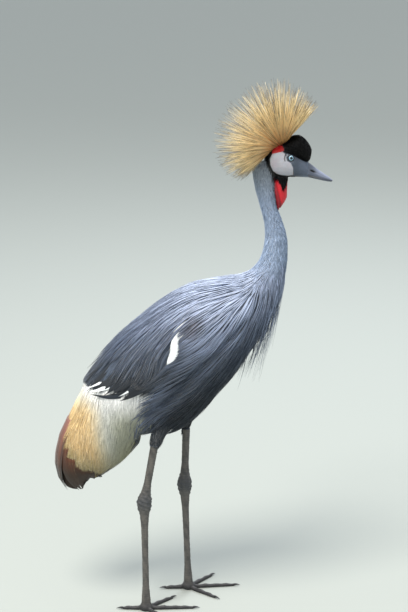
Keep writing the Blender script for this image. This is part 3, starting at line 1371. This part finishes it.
white = plain("DDE2E3")
silk = feather_material("silky_golden_plume", 90, roughness=0.45, sheen=0.3, edge=0.9, shaft=1.03, barb=0.06)
for name, rows, rings, tint_of, tip_power, rise, seed, material, slot_name in (
    ("coat_wing_edge", edge_rows(), 11, edge_tone, 1.35, 0.0026, 34, covert, "wing_plumage"),
    ("coat_wing_tips", LONG_TIPS, 15, edge_tone, 1.3, 0.0078, 38, covert, "wing_plumage"),
    ("white_wedge", wedge_rows(), 9, white, 3.0, 0.0004, 36, silk, "pale_plumes"),
    ("white_slits", WHITE_SLITS, 11, white, 1.3, 0.0092, 39, silk, "pale_plumes"),
):
    finish(placed_feathers(name, rows, rings, tint_of, tip_power, rise, seed), material, slot_name)

# %% [markdown]
# ## Golden plumes
# Past the grey, the wing's inner coverts are long, loose and silky: white at the top and towards the
# front, straw to gold at the rear, duller at the bottom. They hang straight down like a curtain and
# end in a ragged row of points. Two layers are used: broad soft vanes that close the curtain, and fine
# strands over them.

# %% The curtain of plumes
def hanging(points):
    """Along the rear edge at the rear, straight down in front."""
    rear = ease((0.045 - from_rear(points)) / 0.035)
    lean = -0.08 + 0.10 * ease((0.33 - points[:, 2]) / 0.06)
    down = unit(np.column_stack((lean, 0 * lean, -np.ones(len(lean)))))
    return unit(mix(down, coat_lie(points), rear))


def off_curtain(points):
    """Positive where no pale plume may reach: the chestnut zone, and the bird's middle plane."""
    return np.maximum(chestnut_zone(points), np.where(np.abs(points[:, 1]) < 0.0015, 1.0, -1.0))


def curtain(side_name, part, side, spacing, width, rings, seed, rise, long, tip, wave):
    """One layer of pale plumes on one side. wave is how far the loose strands sway."""
    rng = np.random.default_rng(seed)

    def wanted(p, n):
        top = below_coverts(p) > -0.022
        mine = (p[:, 1] * side > 0.0025) & (n[:, 1] * side > -0.35)
        return mine * (p[:, 0] < -0.074) * top * (off_curtain(p) < -0.004)

    roots = scatter(form, wanted, spacing, seed)
    length = rng.uniform(0.75, 1.1, len(roots)) * long
    bend = rng.normal(0, 0.05, len(roots))
    ragged = rng.uniform(-0.006, 0.020, len(roots)) * (0.25 + 0.75 * ease((np.abs(roots[:, 1]) - 0.012) / 0.020))
    trial = lay(form_tree, roots, length, 12, hanging, bend)[0]
    trial[..., 2] += ragged[:, None]
    length = np.maximum(stopped(trial, length, off_curtain), 0.010)
    path, up = lay(form_tree, roots, length, rings, hanging, bend)
    t = np.linspace(0, 1, rings)
    path += up * (rise * t - 0.0045 * (1 - t) ** 1.3 + rng.uniform(-0.0006, 0.0006, (len(roots), 1)))[..., None]
    path -= up * (0.0022 * ease((path[..., 0] + 0.125) / 0.035))[..., None]
    sway = rng.uniform(-wave, wave, (len(roots), 1)) * np.sin(t * rng.uniform(2, 6, (len(roots), 1)))
    path[..., 0] += sway * ease(t * 3)
    half = (width * rng.uniform(0.7, 1.25, len(roots)))[:, None] * blade(t, tip)
    tint = plume_colour(path) * np.clip(1 + 0.07 * rng.standard_normal((len(roots), 1, 1)), 0.7, 1.3)
    return feather_piece(f"plumes_{side_name}_{part}", path, up, half, tint, ridge=0.4)


for side_name, side in SIDES.items():
    base = curtain(
        side_name, "under", side, spacing=0.0055, width=0.0050, rings=9, seed=41,
        rise=-0.0012, long=0.080, tip=2.6, wave=0.0,
    )
    finish(base, silk, "pale_plumes", f"wing_{side_name}_plumes")
    strands = curtain(
        side_name, "strands", side, spacing=0.0025, width=0.0009, rings=7, seed=43,
        rise=0.0014, long=0.062, tip=1.6, wave=0.0012,
    )
    finish(strands, silk, "pale_plumes")

# %% [markdown]
# ## Chestnut secondaries and black primaries
# The flight feathers of the folded wing droop past the plumes and end in a rounded bunch: broad
# chestnut blades outside, black ones inside, round a short black tail. In the middle of the back a fan
# of chestnut blades closes the groove between the wings, and pale plumes cover the fan's upper end.

# %% Flight feathers
def flight_feathers(name, starts, length, half_width, rings, tint_of, tip, rise, lie, seed):
    """Broad feathers from starting points (x, y, z) on each side. With y None, the surface is sought."""
    rng = np.random.default_rng(seed)
    roots = np.array([
        from_side(form_tree, x, z, side) if y is None else (x, side * y, z)
        for side in SIDES.values() for x, y, z in starts
    ])
    lengths = np.tile(np.broadcast_to(length, (len(starts),)), 2).astype(float)
    path, up = lay(form_tree, roots, lengths, rings, lie, bend=rng.normal(0, 0.012, len(roots)))
    t = np.linspace(0, 1, rings)
    order = np.tile(np.arange(len(starts)) / max(len(starts) - 1, 1), 2)
    sunk = 0.0050 * ease(-chestnut_zone(path) / 0.005)
    arch = np.interp(path[..., 2], (0.24, 0.29, 0.36, 0.40, 0.43), (0.2, 0.35, 0.9, 0.8, 0.0))
    path += up * (rise * arch - sunk + (0.0010 + 0.0012 * order[:, None]) * t - 0.002 * (1 - t))[..., None]
    half = np.full((len(roots), 1), half_width) * blade(t, tip, base=0.1)
    tint = tint_of(path) * np.clip(1 + 0.12 * rng.standard_normal((len(roots), 1, 1)), 0.7, 1.3)
    return feather_piece(name, path, up, half, tint, ridge=0.16, crisp=True)


secondary_starts = []
for k in range(13):
    height = 0.403 - 0.0051 * k
    secondary_starts.append((rear_x(height) + 0.0045 + 0.0043 * k, None, height))
secondary_lengths = [(start[2] - 0.230 + 0.003 * (k % 3)) * 1.06 for k, start in enumerate(secondary_starts)]
web = feather_material(
    "chestnut_flight_feather", 190, roughness=0.42, sheen=0.15, edge=0.82, shaft=0.55, barb=0.45, barb_mm=1.1, slant=45,
)
chestnuts = flight_feathers(
    "flight_feathers_chestnut", secondary_starts, secondary_lengths, 0.0080, 26, chestnut_colour, 4.5, 0.0025,
    coat_lie, 51,
)
finish(chestnuts, web, "chestnut_plumes", "wing_right_secondaries", "wing_left_secondaries")


print(len(secondary_starts), "chestnut feathers on each side")

# %% [markdown]
# The middle of the back is not seen in the photo. Its blades hang side by side, bowed over the hollow
# between the wings, and the pale plumes that cover their upper ends come in the same two layers as the
# curtain's.

# %% Between the wings
def middle_feathers():
    """The innermost blades, side by side over the groove between the two wings."""
    rng = np.random.default_rng(53)
    count, rings = 13, 26
    across = np.linspace(-0.030, 0.030, count) + rng.uniform(-0.0012, 0.0012, count)
    t = np.linspace(0, 1, rings)
    top = 0.400 - 0.35 * np.abs(across) + rng.uniform(-0.002, 0.002, count)
    foot = 0.226 + 12 * across ** 2 + rng.uniform(-0.003, 0.005, count)
    z = top[:, None] + (foot - top)[:, None] * t
    y = across[:, None] * (1 + 0.25 * np.sin(t * 3.0) - 0.38 * t ** 2) + rng.normal(0, 0.0016, (count, 1)) * t
    steep = HOLLOW + 70 * np.maximum(0.33 - z, 0)
    sunk = 0.0090 * ease((z - 0.370) / 0.024)
    x = rear_x(z) + steep * y ** 2 - 0.0022 + sunk - 0.0007 * (np.arange(count) % 2)[:, None]
    x[:, -1] += 0.0015
    path = np.stack((x, y, z), axis=-1)
    along = unit(np.gradient(path, axis=1))
    wide = np.stack((2 * steep * y, np.ones_like(y), np.zeros_like(y)), axis=-1)
    up = unit(np.cross(wide, along))
    up *= np.where(up[..., :1] > 0, -1, 1)
    half = rng.uniform(0.0054, 0.0068, (count, 1)) * blade(t, 4.5, base=0.1)
    tint = chestnut_colour(path) * np.clip(1 + 0.20 * rng.standard_normal((count, 1, 1)), 0.6, 1.4)
    return feather_piece("flight_feathers_middle", path, up, half, tint, ridge=0.16, crisp=True)


def middle_plumes(name, seed, count, half_width, rise):
    """Pale plumes over the tops of the middle blades, from one side of the groove to the other."""
    rng = np.random.default_rng(seed)
    rings = 10
    across = np.linspace(-0.027, 0.027, count) + rng.uniform(-0.001, 0.001, count)
    t = np.linspace(0, 1, rings)
    top = 0.446 - rng.uniform(0, 0.034, count)
    foot = 0.388 - 1.25 * np.maximum(np.abs(across) - 0.003, 0) + rng.uniform(-0.007, 0.005, count)
    z = top[:, None] + (foot - top)[:, None] * t
    y = across[:, None] * (1 + 0.08 * t) + rng.normal(0, 0.0010, (count, 1)) * t
    x = rear_x(z) + HOLLOW * y ** 2 - rise - rng.uniform(0, 0.0008, (count, 1)) + 0.0050 * (1 - t) ** 1.5
    path = np.stack((x, y, z), axis=-1)
    up = unit(np.stack((-np.ones_like(y), 2 * HOLLOW * y, np.full_like(y, 0.42)), axis=-1))
    half = half_width * rng.uniform(0.7, 1.25, (count, 1)) * blade(t, 1.8)
    tint = plume_colour(path) * np.clip(1 + 0.07 * rng.standard_normal((count, 1, 1)), 0.7, 1.3)
    return feather_piece(name, path, up, half, tint, ridge=0.4)


finish(middle_feathers(), web, "chestnut_plumes")
finish(middle_plumes("plumes_middle_under", 54, 44, 0.0036, 0.0008), silk, "pale_plumes")
finish(middle_plumes("plumes_middle_strands", 55, 220, 0.0009, 0.0022), silk, "pale_plumes")

# %% [markdown]
# The black primaries start on the underside and slant back, so little of them shows past the chestnut.

# %% Black primaries
primary_starts = [(-0.080 - 0.0055 * k, 0.007 + 0.0042 * (7 - k), 0.330 - 0.0055 * k) for k in range(8)]
blacks = flight_feathers(
    "flight_feathers_black", primary_starts, 0.120, 0.0070, 16, plain("101113"), 5.0, 0.0015,
    swept(-0.95, -1.0), 52,
)
black_web = feather_material("black_flight_feather", 115, roughness=0.45, sheen=0.2, edge=0.8, shaft=0.7, barb=0.6)
finish(blacks, black_web, "black_plumage", "wing_right_primaries", "wing_left_primaries")

# %% [markdown]
# ## Belly, flanks and thighs
# Below, the plumage is short, soft and dark. The feathers of the thigh end just over the bare shank.

# %% Belly and thigh feathers
def belly_feathers():
    """Short dark feathers on the surfaces that face down."""
    rng = np.random.default_rng(61)

    def wanted(p, n):
        under = (n[:, 2] < 0.10) & (p[:, 2] < 0.56) & (p[:, 0] > -0.098) & (np.abs(p[:, 1]) < 0.080)
        return under * (below_coverts(p) < 0.115)

    roots = scatter(form, wanted, 0.0060, 62)
    length = 0.042 * rng.uniform(0.8, 1.3, len(roots))
    rings = 7
    path, up = lay(form_tree, roots, length, rings, coat_lie, bend=rng.normal(0, 0.12, len(roots)))
    t = np.linspace(0, 1, rings)
    path += up * (0.0005 * t - 0.0055 * (1 - t) ** 1.3)[..., None]
    half = (rng.uniform(0.0024, 0.0036, len(roots)))[:, None] * blade(t, 1.8)
    return feather_piece("coat_belly", path, up, half, varied(slate(path[:, 2]) * 0.85, rng, 0.15, rings), ridge=0.4)


def thigh_feathers():
    """Small dark feathers that end just over the bare shank."""
    rng = np.random.default_rng(63)
    roots = scatter(thigh_form, lambda p, n: (p[:, 2] > 0.340) * (n[:, 2] < 0.7), 0.0030, 64)
    low = ease((0.38 - roots[:, 2]) / 0.04)
    length = (0.030 - 0.010 * low) * rng.uniform(0.8, 1.3, len(roots))
    rings = 5
    path, up = lay(thigh_tree, roots, length, rings, swept(-0.14, -1.0), bend=rng.normal(0, 0.12, len(roots)))
    t = np.linspace(0, 1, rings)
    path += up * (0.0014 * t - 0.004 * (1 - t) ** 1.3)[..., None]
    end = roots[:, 2, None] - length[:, None] * t
    path[:, :, 2] = np.where(end < SHANK_TOP, np.minimum(path[:, :, 2], end), path[:, :, 2])
    half = (rng.uniform(0.0013, 0.0020, len(roots)))[:, None] * blade(t, 1.5)
    tint = varied(plain("2A3138")(roots), rng, 0.18, rings)
    return feather_piece("coat_thighs", path, up, half, tint, ridge=0.4)


finish(belly_feathers(), lance_plume, "wing_plumage")
finish(thigh_feathers(), soft_plume, "wing_plumage")

# %% [markdown]
# ### Loose fringe
# A few hundred long, thin breast plumes hang clear of the body. They leave the surface and fall nearly
# straight. Where one would dip into the body, it is lifted out again.

# %% Fringe in front of the breast
def fringe():
    """Loose plumes in front of the breast, no further forward than their solid."""
    rng = np.random.default_rng(71)
    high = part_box("breast_plumes")[1]
    count, rings = 250, 10
    z = 0.490 + 0.200 * rng.uniform(0, 1, count) ** 0.6
    y = rng.normal(0, 0.020, count)
    roots = np.array([
        form_tree.ray_cast(Vector((1, b, a)), Vector((-1, 0, 0)))[0] or (0.150, 0, 0.66) for a, b in zip(z, y)
    ])
    spot, normal = nearest(form_tree, roots)
    t = np.linspace(0, 1, rings)
    length = rng.uniform(0.060, 0.150, count) * (0.50 + 0.50 * ease((z - 0.50) / 0.10))
    swing = np.column_stack((rng.uniform(-0.46, -0.15, count), rng.normal(0, 0.05, count) - y * 1.5, -np.ones(count)))
    path = (spot - normal * 0.004)[:, None, :] + unit(swing)[:, None, :] * (length[:, None] * t)[..., None]
    path += normal[:, None, :] * (0.0055 * ease(t * 3) * rng.uniform(0.6, 1.2, (count, 1)))[..., None]
    under, outward = nearest(form_tree, path.reshape(-1, 3))
    height = ((path.reshape(-1, 3) - under) * outward).sum(axis=1)
    lift = np.maximum(0.0012 - height, 0).reshape(count, rings) * ease(t * 4)
    path += outward.reshape(count, rings, 3) * lift[..., None]
    path[..., 0] = np.minimum(path[..., 0], float(high.x) + 0.010)
    up = np.repeat(unit(normal + np.array((0.4, 0, 0)))[:, None, :], rings, axis=1)
    half = (rng.uniform(0.0008, 0.0015, count))[:, None] * blade(t, 1.2)
    tint = varied(slate(spot) + 0.004, rng, 0.30, rings)
    return feather_piece("coat_breast_fringe", path, up, half, tint, ridge=0.5)


finish(fringe(), lance_plume, "wing_plumage", "breast_plumes")

# %% [markdown]
# ## Head feathers
# The forehead carries a cushion of black velvet, made of thousands of hairs a few millimetres long. The
# lores in front of the eye are slate velvet, shorter still. Black feathers frame the cheek and run down
# the throat in a wedge over the top of the wattle.

# %% Velvet
def tufts(name, seed, wanted, spacing, length, width, tint, lie, deep, stand, rings=3):
    """Short velvet on the head's form, from deep below it at the roots to stand above it at the tips."""
    rng = np.random.default_rng(seed)
    roots = scatter(head_form, wanted, spacing, seed)
    lengths = length * rng.uniform(0.8, 1.2, len(roots))
    path, up = lay(head_tree, roots, lengths, rings, lie, bend=rng.normal(0, 0.2, len(roots)))
    t = np.linspace(0, 1, rings)
    path += up * (stand * t - deep * (1 - t))[..., None]
    half = np.full((len(roots), 1), width) * blade(t, 1.8)
    tints = varied(tint(path[:, 0]), rng, 0.12, rings)
    return feather_piece(name, path, up, half, tints, ridge=0.5)


velvet = feather_material("black_velvet", 4, roughness=0.95, sheen=0.0, edge=0.7, shaft=1.1, barb=0.0, gloss=0.08)
cap = tufts(
    "velvet_cap", 81, lambda p, n: (inside(p, CAP) > -0.0014) * (inside(p, SCARLET) < -0.0030), 0.00115, 0.0045,
    0.00035, plain("060607"), swept(-1.0, 0.9), 0.0016, 0.0006,
)
finish(cap, velvet, "black_plumage", "forehead_cap")


def lore_area(p, n):
    """In front of and above the eye, clear of the patches and of the bare rim."""
    clear = (inside(p, CAP) < -0.0012) & (inside(p, CHEEK) < -0.0008) & (inside(p, SCARLET) < -0.0008)
    return clear * (p[:, 0] > 0.150) * (p[:, 2] > 0.8385) * (from_eye(p) > 0.0072) * (p[:, 0] < 0.2122)


lores = tufts(
    "velvet_lores", 83, lore_area, 0.0011, 0.0024, 0.00026, head_colour, swept(1.0, -0.35), 0.0003, 0.0006,
)
finish(lores, velvet, "black_plumage")


def frame_area(p, n):
    """Behind the cheek and along the chin."""
    clear = (inside(p, CHEEK) < -0.0010) & (inside(p, SCARLET) < -0.0010) & (inside(p, CAP) < 0)
    back = (p[:, 0] < 0.1500) & (p[:, 2] < 0.887)
    chin = (p[:, 2] < 0.8385) & (p[:, 2] > 0.8325) & (p[:, 0] < 0.190)
    return clear * (back & (p[:, 2] > 0.834) | chin)


frame_tufts = tufts(
    "black_cheek_frame", 85, frame_area, 0.0015, 0.0062, 0.00055,
    lambda p: mix(colour("0A0A0C"), colour("23262C"), ease((0.832 - p[:, 2]) / 0.004)),
    swept(-0.45, -1.0), 0.0008, 0.0007, rings=4,
)
finish(frame_tufts, velvet, "black_plumage")
throat_tufts = tufts(
    "black_throat", 87, lambda p, n: (inside(p, THROAT) > -0.0004) & (p[:, 2] < 0.8395), 0.0012, 0.0060, 0.0007,
    plain("16181B"), swept(0.12, -1.0), 0.0004, 0.0016, rings=4,
)
finish(throat_tufts, velvet, "black_plumage")

# %% [markdown]
# ## The crown
# The crown is a spray of stiff bristles, each about 0.6 mm thick, straw-coloured with a dark tip. They
# spring from a patch the size of a thumbnail at the back of the head, so the base is dense and the
# outside is thin enough to see through. They are drawn 0.8 mm thick at the root, to show at this size.

# %% Crown bristles
# Length of the bristles by their heading in the side view, in degrees and metres
CROWN_SHAPE = np.array((
    (48, 0.088), (70, 0.104), (90, 0.119), (110, 0.1245), (140, 0.123), (165, 0.118), (185, 0.110), (200, 0.098),
    (212, 0.084), (226, 0.062),
))
FRONTMOST, LOWEST = CROWN_SHAPE[0, 0], CROWN_SHAPE[-1, 0]
THINNING = 205
SPREAD = math.radians(56)
# Where the roots sit, from the first bristle to the last: share, x and z
ROOT_LINE = np.array((
    (0, 0.1745, 0.897), (0.25, 0.166, 0.8975), (0.5, 0.155, 0.897), (0.75, 0.1465, 0.889), (1, 0.1415, 0.875),
))


def bristles():
    """The crown's bristles, fanned out from front to back and to both sides."""
    rng = np.random.default_rng(91)
    count, rings = 2300, 6
    heading = rng.uniform(FRONTMOST, LOWEST, count)
    thinner = np.minimum(heading, THINNING + rng.uniform(0, LOWEST - THINNING, count))
    heading = np.where(heading > THINNING, thinner, heading)
    share = (heading - FRONTMOST) / (LOWEST - FRONTMOST)
    tilt = SPREAD * rng.uniform(-1, 1, count) * np.sqrt(np.clip(1 - (2 * share - 1) ** 4, 0.05, 1))
    angle = np.radians(heading)
    way = np.column_stack((np.cos(angle) * np.cos(tilt), np.sin(tilt), np.sin(angle) * np.cos(tilt)))
    roots = np.column_stack((
        np.interp(share, ROOT_LINE[:, 0], ROOT_LINE[:, 1]) + rng.uniform(-0.002, 0.002, count),
        0.0062 * np.sin(tilt) / math.sin(SPREAD) + rng.uniform(-0.001, 0.001, count),
        np.interp(share, ROOT_LINE[:, 0], ROOT_LINE[:, 2]) + rng.uniform(-0.002, 0.002, count),
    ))
    spot, normal = nearest(head_tree, roots)
    length = np.interp(heading, CROWN_SHAPE[:, 0], CROWN_SHAPE[:, 1]) * (0.60 + 0.40 * rng.uniform(0, 1, count) ** 0.75)
    t = np.linspace(0, 1, rings)
    path = (spot - normal * 0.002)[:, None, :] + way[:, None, :] * (length[:, None] * t)[..., None]
    bow = np.cross(way, rng.standard_normal((count, 3)))
    path += unit(bow)[:, None, :] * (rng.uniform(0, 0.005, (count, 1)) * t ** 2)[..., None]
    path[..., 2] -= 0.004 * share[:, None] ** 2 * t ** 2
    up = np.repeat(unit(bow)[:, None, :], rings, axis=1)
    half = rng.uniform(0.00026, 0.00040, (count, 1)) * (1 - 0.62 * t)
    straw = mix(colour("EDB673"), colour("F3DDAA"), ease(t * 1.5))
    tip = ease((t - rng.uniform(0.68, 0.97, (count, 1))) / 0.10) * (rng.random((count, 1)) < 0.88)
    tint = mix(np.repeat(straw[None], count, axis=0), colour("1F1811"), tip)
    tint = mix(tint, colour("5E4427"), np.repeat((rng.random((count, 1)) < 0.14) * 0.75, rings, axis=1))
    tint = tint * np.clip(1 + 0.16 * rng.standard_normal((count, 1, 1)), 0.6, 1.4)
    return feather_piece("crown_bristles", path, up, half, tint, ridge=1.2)


bristle = feather_material("straw_bristle", 120, roughness=0.4, sheen=0.0, edge=0.9, shaft=1.0, barb=0.0)
finish(bristles(), bristle, "crest_bristles", "crest")

# %% [markdown]
# ## Bill
# The bill is smooth slate horn: a ridge along the top, a nostril slit in a shallow groove, and a pale
# line where the halves meet. Each half is melted at its own fine grain and sculpted by moving points.

# %% Bill
NOSTRIL_X, NOSTRIL_Z = 0.2206, 0.8458


def bill_line(x, height):
    """Height of a line that runs parallel to the gap between the halves, from a height at the base."""
    return height - 0.275 * (x - 0.2124)


def make_bill(part):
    """One half of the bill, with its markings."""
    half = melted(f"{part}_horn", [part], 0.00045, 4, swell=0.0001)
    points, normals = points_of(half.data), normals_of(half.data)
    if part == "bill_upper":
        slot_line = NOSTRIL_Z - 0.40 * (points[:, 0] - NOSTRIL_X)
        off = np.hypot((points[:, 0] - NOSTRIL_X) / 0.0046, (points[:, 2] - slot_line) / 0.0016)
        trough = np.hypot((points[:, 0] - 0.2225) / 0.0110, (points[:, 2] - slot_line) / 0.0032)
        flank = np.abs(normals[:, 1]) > 0.35
        points -= normals * (flank * (0.0016 * ease(1.3 - off) + 0.0006 * ease(1.3 - trough)))[:, None]
    set_points(half.data, points)
    half.data.shade_smooth()
    x, z = points[:, 0], points[:, 2]
    tone = mix(colour("4A515E"), colour("858DA2"), ease((x - 0.216) / 0.02) * ease(normals[:, 2] * 1.2 + 0.2))
    tone = mix(tone, colour("2C2E36"), ease((0.0040 - np.abs(z - bill_line(x, 0.8387))) / 0.004) * 0.5)
    lip = ease(1 - np.abs(z - bill_line(x, 0.8382)) / 0.0008) * ease((0.244 - x) / 0.02)
    tone = mix(tone, colour("A09880"), 0.4 * lip)
    if part == "bill_upper":
        tone = mix(tone, colour("08080A"), (np.abs(normals[:, 1]) > 0.2) * ease(1.6 - off))
    paint(half.data, tone)
    return half


def horn_material(name, roughness, streak_mm):
    """Polished horn with faint growth streaks."""
    material, tree, shader = start_material(name)
    place = node(tree, "Mapping", {0: node(tree, "TexCoord").outputs["Object"], "Scale": (0.25, 1, 1)})
    noise = node(tree, "TexNoise", {"Vector": place.outputs[0], "Scale": 1000 / streak_mm, "Detail": 4.0})
    streaks = noise.outputs["Fac"]
    tone = node(tree, "MapRange", {"Value": streaks, "To Min": 0.72, "To Max": 1.28})
    tint_and_relief(tree, shader, tone.outputs[0], streaks, 0.15, 0.0002)
    shader.inputs["Roughness"].default_value = roughness
    return material


bill_horn = horn_material("slate_bill_horn", 0.38, 1.5)
for part in ("bill_upper", "bill_lower"):
    finish(make_bill(part), bill_horn, "bill_horn", part)
print("bill done")

# %% [markdown]
# ## Eyes
# The iris is pale blue, about 10 mm across, with a pupil of about 5 mm and a dark rim. The clear cornea
# is a glossy coat on the ball.

# %% Eyes
def make_eye(side_name, side):
    """An eyeball that looks sideways and a little ahead, painted in rings round its axis."""
    gaze, centre = (0.10, side, 0.02), (EYE[0], side * EYE[1], EYE[2])
    turn = Vector((0, 0, 1)).rotation_difference(Vector(gaze)).to_matrix()
    bm = bmesh.new()
    bmesh.ops.create_uvsphere(bm, u_segments=48, v_segments=32, radius=EYE_RADIUS)
    bmesh.ops.rotate(bm, verts=bm.verts, cent=(0, 0, 0), matrix=turn)
    bmesh.ops.translate(bm, verts=bm.verts, vec=centre)
    ball = rounded_object(bm, f"eyeball_{side_name}")
    way = unit(np.array(gaze))
    from_centre = points_of(ball.data) - np.array(centre)
    off_axis = np.linalg.norm(from_centre - np.outer(from_centre @ way, way), axis=1)
    off_axis = np.where(from_centre @ way > 0, off_axis, 1.0)
    tone = mix(np.tile(colour("7FAEC8"), (len(off_axis), 1)), colour("A5CBDD"), ease((off_axis - 0.0026) / 0.0014))
    tone = mix(tone, colour("2B3A46"), ease((off_axis - 0.0043) / 0.0007))
    tone = mix(tone, colour("040406"), ease((0.0027 - off_axis) / 0.0004))
    paint(ball.data, tone)
    return ball


def eye_material():
    """The painted iris under a clear wet coat."""
    material, tree, shader = start_material("wet_blue_iris")
    tint = node(tree, "Attribute", attribute_name="Tint")
    tree.links.new(tint.outputs["Color"], shader.inputs["Base Color"])
    shader.inputs["Roughness"].default_value = 0.25
    shader.inputs["Coat Weight"].default_value = 0.6
    shader.inputs["Coat Roughness"].default_value = 0.04
    shader.inputs["Coat IOR"].default_value = 1.376
    return material


wet_iris = eye_material()
for side_name, side in SIDES.items():
    finish(make_eye(side_name, side), wet_iris, "eye_iris", f"eye_{side_name}")
print("eyes done")

# %% [markdown]
# ## Claws
# Each claw is a short curved cone of black horn. A ring is drawn, then extruded and shrunk step by step.

# %% Claws
CLAW_STEPS = 7
CLAW_HEIGHT = 0.0030


def slimness(step):
    """Radius after a step of the extrusion, as a share of the first."""
    return 1 - 0.93 * (step / CLAW_STEPS) ** 1.3


def make_claws():
    """All the claws as one mesh, each from its toe's end to where its solid ends."""
    bm = bmesh.new()
    for claw in CLAWS:
        toe_low, toe_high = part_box(claw.replace("claw", "toe"))
        low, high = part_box(claw)
        toe, middle = (toe_low + toe_high) / 2, (low + high) / 2
        way = Vector((middle.x - toe.x, middle.y - toe.y, 0)).normalized()
        length = math.hypot(high.x - low.x, high.y - low.y) * 0.98
        start = Vector((middle.x, middle.y, 0)) - way * (length * 0.58)
        turn = Vector((0, 0, 1)).rotation_difference(way).to_matrix().to_4x4()
        ring = bmesh.ops.create_circle(bm, cap_ends=True, segments=14, radius=0.0024, matrix=turn)["verts"]
        bmesh.ops.translate(bm, verts=ring, vec=start + Vector((0, 0, CLAW_HEIGHT)))
        face = next(f for f in bm.faces if all(v in ring for v in f.verts))
        for step in range(1, CLAW_STEPS + 1):
            grown = bmesh.ops.extrude_face_region(bm, geom=[face])["geom"]
            verts = [g for g in grown if isinstance(g, bmesh.types.BMVert)]
            if step > 1:
                bmesh.ops.delete(bm, geom=[face], context="FACES_ONLY")
            face = next(g for g in grown if isinstance(g, bmesh.types.BMFace))
            share = step / CLAW_STEPS
            centre = sum((v.co for v in verts), Vector()) / len(verts)
            height = CLAW_HEIGHT + 0.0012 * math.sin(share * 2.2) - 0.0026 * share ** 2
            target = start + way * (length * 1.1 * share) + Vector((0, 0, height))
            bmesh.ops.translate(bm, verts=verts, vec=target - centre)
            shrink = slimness(step) / slimness(step - 1)
            bmesh.ops.scale(bm, verts=verts, vec=(shrink,) * 3, space=Matrix.Translation(-target))
    bmesh.ops.recalc_face_normals(bm, faces=bm.faces)
    claws = rounded_object(bm, "claws")
    paint(claws.data, plain("1B191B")(points_of(claws.data)))
    return claws


claw_horn = horn_material("black_claw_horn", 0.4, 1.0)
finish(make_claws(), claw_horn, "claw_horn", *CLAWS)
print(len(CLAWS), "claws")

# %% [markdown]
# ## Tail
# The tail is short and black, nearly hidden between the wings. Its solid keeps its shape and gets the
# look of the black feathers.

# %% Tail and last steps
for guide in (form, thigh_form, head_form):
    bpy.data.objects.remove(guide)
tail_black, tail_tree, tail_shader = start_material("black_tail_feathers")
tail_place = node(tail_tree, "TexCoord").outputs["Object"]
tail_bands = node(tail_tree, "TexWave", {"Vector": tail_place, "Scale": 90.0, "Distortion": 2.0}, bands_direction="Y")
tail_tone = node(tail_tree, "MapRange", {"Value": tail_bands.outputs["Fac"], "To Min": 0.006, "To Max": 0.016})
tail_tree.links.new(tail_tone.outputs[0], tail_shader.inputs["Base Color"])
tail_shader.inputs["Roughness"].default_value = 0.55
nodes["tail"].data.materials.clear()
nodes["tail"].data.materials.append(tail_black)
print("triangles in feathers:", sum(TRIANGLES.values()))
